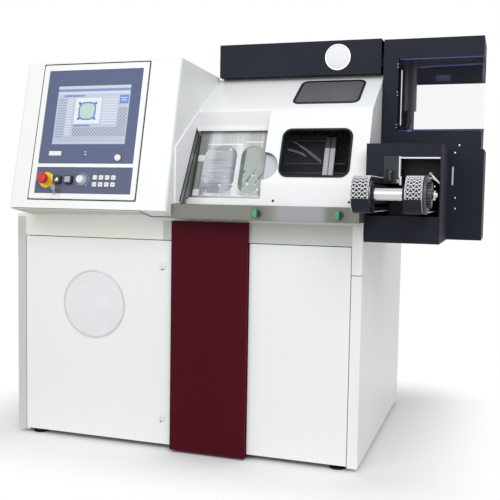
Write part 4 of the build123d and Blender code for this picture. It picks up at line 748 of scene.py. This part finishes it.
def consoleDetails():
    plate = consoleSizes["plate"]
    fromX, low, width, height = consoleSizes["bezel"]
    reach, shift, wide = consoleSizes["gasket"]
    centre = (fromX + width / 2 - shift, low + height / 2 + shift)
    rim = roundRect(width + 2 * reach, height + 2 * reach, 0.004, centre)
    levels = [(0, 0), (0, 0.0007), (0.0003, 0.001), (wide, 0.001), (wide, 0)]
    addPiece("bezelGasket", "sealRubber", consoleFrame, (stack, rim, levels, True))
    label = consoleSizes["label"]
    levels = (plate, plate + 0.0008, 0.0004, plate + 0.0011)
    addBlock("bareLabel", "whitePlastic", consoleFrame, label["size"], 0.0012, label["centre"], levels)
    levels = eased(plate, plate + 0.0006, 0.0003, plate + 0.0009)
    addPiece("indicatorWindows", "whitePlastic", consoleFrame, *(
        (stack, roundRect(*consoleSizes["indicatorSize"], 0.0008, centre), levels)
        for centre in consoleSizes["indicators"]
    ))
    across, up, radius, tall = consoleSizes["cap"]
    levels = [(inset, plate + tall * share) for inset, share in consoleSizes["capLevels"]]
    addPiece("portCap", "whitePlastic", consoleFrame, (stack, disc(radius, (across, up)), levels))
    levels = eased(plate, plate + 0.001, 0.0006, plate + 0.0016)
    addPiece("portRing", "darkSteel", consoleFrame, (stack, disc(radius + 0.003, (across, up)), levels))
    middle = Vector(consoleSizes["knob"])
    top = plate + consoleSizes["mark"]
    ticks = []
    for tick in range(consoleSizes["ticks"]):
        angle = radians(-135 + 270 * tick / (consoleSizes["ticks"] - 1))
        way = Vector((sin(angle), cos(angle)))
        inner = middle + way * consoleSizes["tickFrom"]
        outer = middle + way * (consoleSizes["tickTo"] + (0.0014 if tick % 3 == 0 else 0))
        ticks.append((strut, inner, outer, consoleSizes["tickWidth"], plate, top))
    addPiece("knobScale", "whitePlastic", consoleFrame, *ticks)


def keyMarks():
    # A simple sign on each key: bar, ring, wedge, square and cross
    across, up, pitchX, pitchY = consoleSizes["keys"]
    half = consoleSizes["markHalf"]
    low = consoleSizes["keyLevel"]
    high = low + consoleSizes["mark"]
    hollow = [(0, low), (0, high), (0.001, high), (0.001, low)]
    for number in range(8):
        x = across + (number % 4 - 1.5) * pitchX
        y = up + (0.5 - number // 4) * pitchY
        level = (strut, (x - half, y), (x + half, y), consoleSizes["markWidth"], low, high)
        upright = (strut, (x, y - half), (x, y + half), consoleSizes["markWidth"], low, high)
        circle = (stack, disc(0.0034, (x, y), 20), hollow, True)
        wedge = (stack, disc(0.0036, (x, y), 3), hollow[:2])
        square = (stack, roundRect(0.0052, 0.0052, 0.0003, (x, y), 1), hollow, True)
        signs = ([level], [circle], [wedge], [square], [square], [level, upright], [circle], [wedge])
        key = str(number + 1)
        addPiece("keyMark" + key, "darkSteel", consoleFrame, *signs[number], body="key_" + key)


def keyRing():
    # A split ring at the key's bow, with a spare key hanging from it
    low, high = edges("key_barrel")
    radius = 0.011
    middle = Vector(((low.x + high.x) / 2, low.y + 0.004, (low.z + high.z) / 2 - 0.001 - radius))
    turns = [2 * pi * step / 36 for step in range(36)]
    coils = [
        [middle + Vector((radius * cos(turn), lift, radius * sin(turn))) for turn in turns]
        for lift in (0, 0.0009)
    ]
    addPiece("keyRing", "sheetSteel", world, *((tube, coil, 0.0006, 8, True) for coil in coils))
    thick = 0.0008
    teeth = [
        (strut, (0.0025, spot), (0.0046, spot - 0.001), 0.0018, -thick, thick)
        for spot in (-0.013, -0.017, -0.021, -0.025)
    ]
    hang = slopeFrame(middle + Vector((0, 0.0035, -radius - 0.008)), 0)
    addPiece(
        "spareKey", "sheetSteel", hang @ Matrix.Rotation(radians(12), 4, "Z"),
        (stack, roundRect(0.018, 0.020, 0.006), [(0, -0.0009), (0, 0.0009)]),
        (strut, (0, -0.009), (0, -0.031), 0.0062, -thick, thick), *teeth,
    )


traySizes = {
    "corners": ((0.012, 0.003), (0.545, 0.003), (0.533, 0.077), (0.018, 0.127)), "middle": (0.28, 0.06),
    "levels": [(0.0008, -0.0052), (0, -0.0046), (0, -0.0018)], "gapLevels": (-0.0022, -0.0001),
    "gaps": (
        ((0.018, 0.1295), (0.534, 0.0795), 0.005), ((0.534, 0.0795), (0.529, 0.136), 0.003),
        ((0.528, 0.137), (0.645, 0.137), 0.005),
    ),
}


def consoleTray():
    # A flat tray under the console's sloping floor, its olive grey painted shade; its rear edge runs askew,
    # with dark strips along it as painted shade
    run = Vector((0, frontY - consoleLow.y, -consoleFoot))
    floor = slopeFrame(consoleFrame.to_translation(), pi - asin(run.y / run.length))
    middle = Vector(traySizes["middle"])

    def outline(inset=0.0):
        corners = [Vector(corner) for corner in traySizes["corners"]]
        return [corner + (middle - corner).normalized() * inset for corner in corners]

    addPiece("consoleTray", "trayPaint", floor, (stack, outline, traySizes["levels"]))
    gaps = ((strut, *gap, *traySizes["gapLevels"]) for gap in traySizes["gaps"])
    addPiece("trayGap", "sealRubber", floor, *gaps)


consoleDetails()
keyMarks()
keyRing()
consoleTray()
print("stage: console details")


# Bare round plates: a domed disc in a turned rim
plates = {
    "doorPlate": {"centre": (-0.5392, 0.5408), "radius": 0.132, "front": "top_deck", "body": "left_door"},
    "gantryPlate": {
        "centre": (0.3243, 1.5105), "radius": 0.0505, "front": "gantry_cover", "body": "machine",
    },
}
plateSizes = {
    "rim": (
        (0, 0), (0, 0.0022), (0.0006, 0.0030), (0.0030, 0.0036), (0.0052, 0.0030), (0.0062, 0.0016),
        (0.0062, 0),
    ),
    "foot": 0.0002, "edge": 0.0014, "rise": 0.0042, "steps": 96, "rows": 12,
}
for plateName, plate in plates.items():
    flat = frontOf(plate["front"])
    inner = plate["radius"] - plateSizes["rim"][-1][0]
    dome = [(0, plateSizes["foot"])]
    for row in range(plateSizes["rows"]):
        share = row / plateSizes["rows"]
        dome.append((inner * share, plateSizes["edge"] + plateSizes["rise"] * (1 - (1 - share) ** 2)))
    rimOutline = disc(plate["radius"], plate["centre"], plateSizes["steps"])
    rimForm = (stack, rimOutline, plateSizes["rim"], True)
    addPiece(plateName + "Rim", "turnedSteel", flat, rimForm, body=plate["body"])
    domeForm = (stack, disc(inner, plate["centre"], plateSizes["steps"]), dome)
    addPiece(plateName, "whitePlastic", flat, domeForm, body=plate["body"])
print("stage: bare plates")


# Door side: the double strip on the cheek, and what shows behind the lower window
strips = {
    "stripOuter": ("sealRubber", -0.014, -0.006, 0.0014),
    "stripChannel": ("sheetSteel", -0.006, 0.014, 0.001),
    "stripInner": ("sealRubber", 0.014, 0.0205, 0.0014),
}
chamber = {
    "curtain": (0.31, 0.235, 0.03, (0.478, 0.128)), "shadeSheetLevels": [(0, -0.112), (0, -0.110)],
    "folds": (
        ((0.359, 0.2133), (0.424, 0.180), (0.4785, 0.1316)),
        ((0.372, 0.2080), (0.421, 0.1700), (0.4785, 0.1250)),
        ((0.3457, 0.1813), (0.382, 0.1740), (0.4125, 0.1585)),
        ((0.3440, 0.1760), (0.384, 0.1700), (0.4185, 0.1500)),
    ),
    "foldLevel": -0.092, "foldSteps": 12, "foldRadius": 0.0008,
    "rails": ((0.2155, 0.485), (0.1225, 0.568), (0.0845, 0.568)), "railStart": 0.338,
    "stripSize": (0.0185, 0.205), "stripHeight": 0.122, "stripLevels": (-0.088, -0.0835, 0.001, -0.082),
}


def cheekStrips():
    # Two rubber lips with a channel between them, from the rail up to the header
    way = (cheekTop - cheekFoot).normalized()
    length = (cheekTop - cheekFoot).length
    foot = Matrix.Translation(cheekFoot + Vector((hoodLow.x, 0, 0)))
    place = foot @ turned((0, -way.z, way.y), way, (1, 0, 0))
    for name, (finish, low, high, rise) in strips.items():
        centre = ((low + high) / 2, length / 2)
        levels = (0.0001, rise - 0.0004, 0.0004, rise)
        addBlock(name, finish, place, (high - low, length), 0.001, centre, levels)


def chamberView():
    # Close behind the lower window: a dark sheet as painted shade of the chamber, with fold lines, rails and
    # two cover strips in front of it
    cloth = (stack, roundRect(*chamber["curtain"]), chamber["shadeSheetLevels"])
    addPiece("curtain", "curtainCloth", hoodFrame, cloth)
    folds = []
    for start, bend, end in chamber["folds"]:
        spots = []
        for step in range(chamber["foldSteps"] + 1):
            share = step / chamber["foldSteps"]
            first = Vector(start).lerp(Vector(bend), share)
            second = Vector(bend).lerp(Vector(end), share)
            spots.append(first.lerp(second, share).to_3d() + Vector((0, 0, chamber["foldLevel"])))
        folds.append((tube, spots, chamber["foldRadius"], 6))
    addPiece("curtainFolds", "foldSteel", hoodFrame, *folds)
    addPiece("curtainRails", "railGrey", hoodFrame, *(
        (strut, (chamber["railStart"], height), (finish, height), 0.0022, -0.096, -0.094)
        for height, finish in chamber["rails"]
    ))
    for name, middle in (("coverStripLeft", 0.4985), ("coverStripRight", 0.5195)):
        centre = (middle, chamber["stripHeight"])
        addBlock(name, "stripSteel", hoodFrame, chamber["stripSize"], 0.001, centre, chamber["stripLevels"])


cheekStrips()
chamberView()
print("stage: door side")


# Loader: belts, sensors, notch frame, guard fittings
belts = {"left": (0.510, 0.055), "right": (0.675, 0.052)}
beltSizes = {
    "run": 0.670, "radius": 0.0545, "rows": 132, "thick": 0.0032, "rib": 0.0015, "diagonal": 0.002025,
    "triangles": 3, "axis": 0.056,
}


def beltLink(width):
    # One row: a cross rib, a rib at each edge, and a zigzag that leaves triangles open
    rib, low = beltSizes["rib"], -beltSizes["thick"]
    half = width / 2
    reach = (beltSizes["run"] + pi * beltSizes["radius"]) / beltSizes["rows"]
    forms = [(strut, (-half, -reach), (half, -reach), rib, low, 0.0)]
    step = width / beltSizes["triangles"]
    for place in range(beltSizes["triangles"]):
        left = -half + place * step
        for foot in (left, left + step):
            peak = (left + step / 2, reach)
            forms.append((strut, (foot, -reach), peak, beltSizes["diagonal"], low, -0.0002))
    for edge in (rib / 2 - half, half - rib / 2):
        forms.append((strut, (edge, -reach), (edge, reach), rib, low, 0.0))
    return meshOf("beltLink", *forms)


def addBelts():
    # Each loop is grown flat, then stood up so that it runs along y
    low, high = edges("conveyor_belts")
    for side, (fromX, width) in belts.items():
        mesh = beltLoop.grow(side + "BeltLinks", beltLink(width), {
            "Run": beltSizes["run"], "Height": 2 * beltSizes["radius"], "Count": beltSizes["rows"],
            "Finish": finishes["whitePlastic"],
        })
        middleY = low.y + beltSizes["axis"] + beltSizes["run"] / 2
        centre = (fromX + width / 2, middleY, (low.z + high.z) / 2)
        mesh.transform(Matrix.Translation(centre) @ sideways)
        addMesh(side + "Belt", "whitePlastic", mesh)


bars = {
    "notchLining": (
        "whitePlastic", "front_box", (0.6165, -0.0012, 1.0400), (0.6215, 0.020, 1.1125),
        (0.6215, -0.0012, 1.1050), (0.7528, 0.020, 1.1100),
    ),
    "notchShade": ("sealRubber", "front_box", (0.6270, 0.060, 1.0410), (0.7525, 0.064, 1.150)),
    "slotStrip": ("whitePlastic", "lower_box", (0.7688, -0.0008, 1.0222), (0.7742, 0.0035, 1.0898)),
    "guardEdge": ("whitePlastic", "tower_frame", (0.5706, -0.0012, 1.246), (0.5738, 0.0006, 1.453)),
}
frontBlocks = {
    "sensorPlate": ("platePaint", (0.050, 0.093), 0.0015, (0.5905, 1.0665), (0.0002, 0.001, 0.0005, 0.0015)),
    "sensorHead": ("blackPlastic", (0.022, 0.040), 0.003, (0.5865, 1.0460), (0.0015, 0.012, 0.002, 0.014)),
    "sensorBlock": ("lilacPlastic", (0.009, 0.013), 0.001, (0.6155, 1.0283), (0.0002, 0.009, 0.001, 0.010)),
    "sensorShield": (
        "whitePlastic", (0.006, 0.030), 0.001, (0.6235, 1.0300), (-0.010, 0.007, 0.001, 0.008),
    ),
    "trayStopHead": (
        "lilacPlastic", (0.009, 0.009), 0.001, (0.7215, 1.0545), (-0.016, -0.007, 0.001, -0.006),
    ),
}


def addBars(name, body="machine"):
    # Blocks whose depths are counted from the front of a node
    finish, node, *corners = bars[name]
    front = Matrix.Translation((0, edges(node)[0].y, 0))
    forms = [(bar, low, high) for low, high in zip(corners[::2], corners[1::2])]
    addPiece(name, finish, front, *forms, body=body)


def addFrontBlock(name):
    finish, *form = frontBlocks[name]
    addBlock(name, finish, frontOf("front_box"), *form)


def sensors():
    # White-edged lining of the front box's raised opening, the dark behind it, the cover plate on
    # its left with the sensor, and two blocks by the rim
    addBars("notchLining")
    addBars("notchShade")
    addFrontBlock("sensorPlate")
    addFrontBlock("sensorHead")
    addPiece(
        "sensorLamp", "limePlastic", frontOf("front_box"),
        (stack, disc(0.0030, (0.5905, 1.0600), 20), eased(0.0139, 0.015, 0.0015, 0.0158)),
        (strut, (0.5852, 1.0560), (0.5895, 1.0340), 0.0013, 0.0139, 0.0146),
    )
    addFrontBlock("sensorBlock")
    addFrontBlock("sensorShield")


def trayStop():
    # A white arm across the mouth's right corner, with a lilac block at its head
    addPiece(
        "trayStop", "whitePlastic", frontOf("front_box"),
        (strut, (0.7240, 1.0520), (0.7535, 1.0215), 0.0055, -0.016, -0.010),
        (strut, (0.7300, 1.0380), (0.7420, 1.0300), 0.0040, -0.020, -0.016),
    )
    addFrontBlock("trayStopHead")


def pulleyHub():
    # Clamping hub on the pulley's face: a washer, a bolt and three set screws
    low, high = edges("drive_pulley")
    place = Matrix.Translation((high.x, (low.y + high.y) / 2, (low.z + high.z) / 2)) @ sideways
    addPiece(
        "pulleyHub", "turnedSteel", place,
        (stack, disc(0.0135, steps=32), eased(0.0001, 0.004, 0.001, 0.005)),
        (stack, disc(0.0075, steps=6), eased(0.005, 0.0095, 0.001, 0.0105)), body="conveyor_shaft",
    )
    bolts = []
    for step in range(3):
        turn = pi / 2 + 2 * pi * step / 3
        outline = disc(0.0032, (0.026 * cos(turn), 0.026 * sin(turn)), 16)
        bolts.append((stack, outline, eased(0.0001, 0.0022, 0.0008, 0.003)))
    addPiece("pulleyBolts", "turnedSteel", place, *bolts, body="conveyor_shaft")


hinges = {"x": 0.5565, "heights": (1.470, 1.3655, 1.2435), "screw": 0.006}


def guardFittings():
    # Hinge plates with two screws each beside the guard, and a pale strip down the guard's left edge
    y = edges("tower_frame")[0].y
    x, heights, shift = hinges.values()
    addPiece("hingePlates", "darkPaint", frontOf("tower_frame"), *(
        (stack, roundRect(0.009, 0.020, 0.001, (x, height)), eased(0.0001, 0.0018, 0.0005, 0.0023))
        for height in heights
    ))
    addBars("guardEdge", "clear_guard")
    places = [(x, y - 0.0022, height + side) for height in heights for side in (-shift, shift)]
    addScrews("hingeScrews", places, (0, -1, 0), "turnedSteel", 0.0017, 0.0009)


addBelts()
sensors()
trayStop()
pulleyHub()
addBars("slotStrip")
guardFittings()
print("stage: loader details")


# Screws on hood, boxes, side and back panels
frontScrews = {
    "boxScrews": ("lower_box", "turnedSteel", 0.0038, (
        (0.7769, 1.1426), (0.7820, 0.9744), (0.7834, 0.9344), (0.792, 1.170),
    )),
    "frontBoxScrews": ("front_box", "blackPlastic", 0.0030, (
        (0.6792, 1.1334), (0.6904, 1.1334), (0.6495, 0.849), (0.5301, 0.8955), (0.7250, 0.8955),
    )),
}
panelHeights = (0.045, 0.30, 0.56, 0.83)


def allScrews():
    band = (0.9535 - deckTop) / cos(slopes["band"])
    places = [tuple(bandFrame @ Vector((x, band, 0.0001))) for x in (0.1666, 0.4441)]
    addScrews("hoodScrews", places, bandFrame.col[2][:3], "blackPlastic", 0.0046)
    for name, (node, finish, radius, spots) in frontScrews.items():
        y = edges(node)[0].y
        addScrews(name, [(x, y, z) for x, z in spots], (0, -1, 0), finish, radius)
    for name, corner, facing in zip(("leftSideScrews", "rightSideScrews"), edges("side_panels"), (-1, 1)):
        addScrews(name, [(corner.x, 0.62, z) for z in panelHeights], (facing, 0, 0), "turnedSteel")
    for name, node, inset, middle, heights in (
        ("backScrews", "rear_panel", 0.02, -0.19, panelHeights),
        ("hoodBackScrews", "hood_skin", 0.03, 0.165, (0.92, 1.41)),
    ):
        low, high = edges(node)
        places = [(x, high.y, z) for x in (low.x + inset, middle, high.x - inset) for z in heights]
        addScrews(name, places, (0, 1, 0), "turnedSteel")


def rearGland():
    # Threaded gland in the round entry; nothing runs through it
    low, high = edges("rear_panel")
    centre = ((low.x + high.x) / 2, high.y - 0.0045, low.z + 0.1 * (high.z - low.z))
    addPiece(
        "rearGland", "blackPlastic", Matrix.Translation(centre) @ turned((-1, 0, 0), (0, 0, 1), (0, 1, 0)),
        (stack, disc(0.031, steps=6), eased(-0.0145, -0.004, 0.002, -0.0005)),
        (stack, disc(0.0235), [(0, -0.017), (0, -0.0006), (0.006, -0.0006), (0.010, -0.014)]),
    )


allScrews()
rearGland()
print("stage: screws and gland")

# Camera: the photograph's view, with a pinhole of this focal length in 500 pixels
view = {
    "focal": 787.551, "pixels": 500, "sensor": 36.0, "place": (0.971953, -3.068309, 0.97939),
    "yaw": 0.315, "pitch": 0.072, "roll": 0.017, "clip": (0.05, 60),
}


def makeCamera():
    data = bpy.data.cameras.new("camera")
    data.sensor_width = view["sensor"]
    data.lens = view["focal"] / view["pixels"] * view["sensor"]
    data.clip_start, data.clip_end = view["clip"]
    yaw, pitch, roll = view["yaw"], view["pitch"], view["roll"]
    ahead = Vector((-sin(yaw) * cos(pitch), cos(yaw) * cos(pitch), -sin(pitch)))
    level = Vector((cos(yaw), sin(yaw), 0))
    upright = level.cross(ahead)
    right = level * cos(roll) + upright * sin(roll)
    up = upright * cos(roll) - level * sin(roll)
    camera = bpy.data.objects.new("camera", data)
    camera.matrix_world = Matrix.Translation(view["place"]) @ turned(right, up, -ahead)
    bpy.context.scene.collection.objects.link(camera)
    bpy.context.scene.camera = camera


# Studio: a pale floor, two soft lamps and an even surround
studio = {
    "aim": (0, 0, 0.8), "floorReach": 14.0, "floorLevels": (0.97, 0.99), "surround": 0.58,
    "fadeFrom": 0.02, "fadeTo": 0.5,
    "key": {"place": (-1.3, -4.7, 3.0), "size": 3.6, "power": 64, "colour": (1, 1, 1)},
    "fill": {"place": (1.5, -2.5, 2.8), "size": 1.6, "power": 32, "colour": (0.90, 0.95, 1)},
}


def makeLamp(name, place, size, power, colour):
    data = bpy.data.lights.new(name, "AREA")
    data.shape = "DISK"
    data.size = size
    data.energy = power
    data.color = colour
    lamp = bpy.data.objects.new(name, data)
    aim = Vector(studio["aim"]) - Vector(place)
    lamp.matrix_world = Matrix.Translation(place) @ aim.to_track_quat("-Z", "Y").to_matrix().to_4x4()
    bpy.context.scene.collection.objects.link(lamp)


def makeFloor():
    reach = studio["floorReach"]
    mesh = bpy.data.meshes.new("studioFloor")
    corners = [(-reach, -reach, 0), (reach, -reach, 0), (reach, reach, 0), (-reach, reach, 0)]
    mesh.from_pydata(corners, [], [(0, 1, 2, 3)])
    floor = bpy.data.objects.new("studioFloor", mesh)
    bpy.context.scene.collection.objects.link(floor)
    finish = Finish("floorFinish")
    ground = finish.axes()
    low, high = edges("side_panels")
    beyond = []
    for axis in range(2):
        past = finish.math("MAXIMUM", ground[axis] - high[axis], low[axis] - ground[axis])
        beyond.append(finish.math("MAXIMUM", past, 0.0))
    edge = beyond[0].off(beyond[1]).fade(studio["fadeFrom"], studio["fadeTo"])
    cloud = finish.noise(3, 2)
    tone = finish.mix(cloud, *((level, level, level, 1) for level in studio["floorLevels"]))
    matte = finish.add("BsdfDiffuse", {}, {"Color": tone})
    clear = finish.add("BsdfTransparent")
    shader = finish.add("MixShader", {}, {0: edge, 1: matte, 2: clear})
    finish.add("OutputMaterial", {}, {0: shader})
    mesh.materials.append(finish.made)


def makeSurround():
    # Full white to the camera, in mirrors and through panes, and dimmer as a light
    sky = Finish("surround", home=bpy.data.worlds)
    bpy.context.scene.world = sky.made
    rays = {term.socket.name: term for term in sky.outputs("LightPath")}
    mirrored = sky.math("MAXIMUM", rays["Is Camera Ray"], rays["Is Glossy Ray"])
    seen = sky.math("MAXIMUM", mirrored, rays["Is Transmission Ray"])
    strength = sky.add("MapRange", {}, {"Value": seen, "To Min": studio["surround"], "To Max": 1.0})
    backdrop = sky.add("Background", {}, {"Color": (1, 1, 1, 1), "Strength": strength})
    sky.add("OutputWorld", {}, {0: backdrop})
    bpy.context.scene.view_settings.view_transform = "Standard"


makeCamera()
makeFloor()
makeLamp("keyLamp", **studio["key"])
makeLamp("fillLamp", **studio["fill"])
makeSurround()
print("stage: camera and studio")
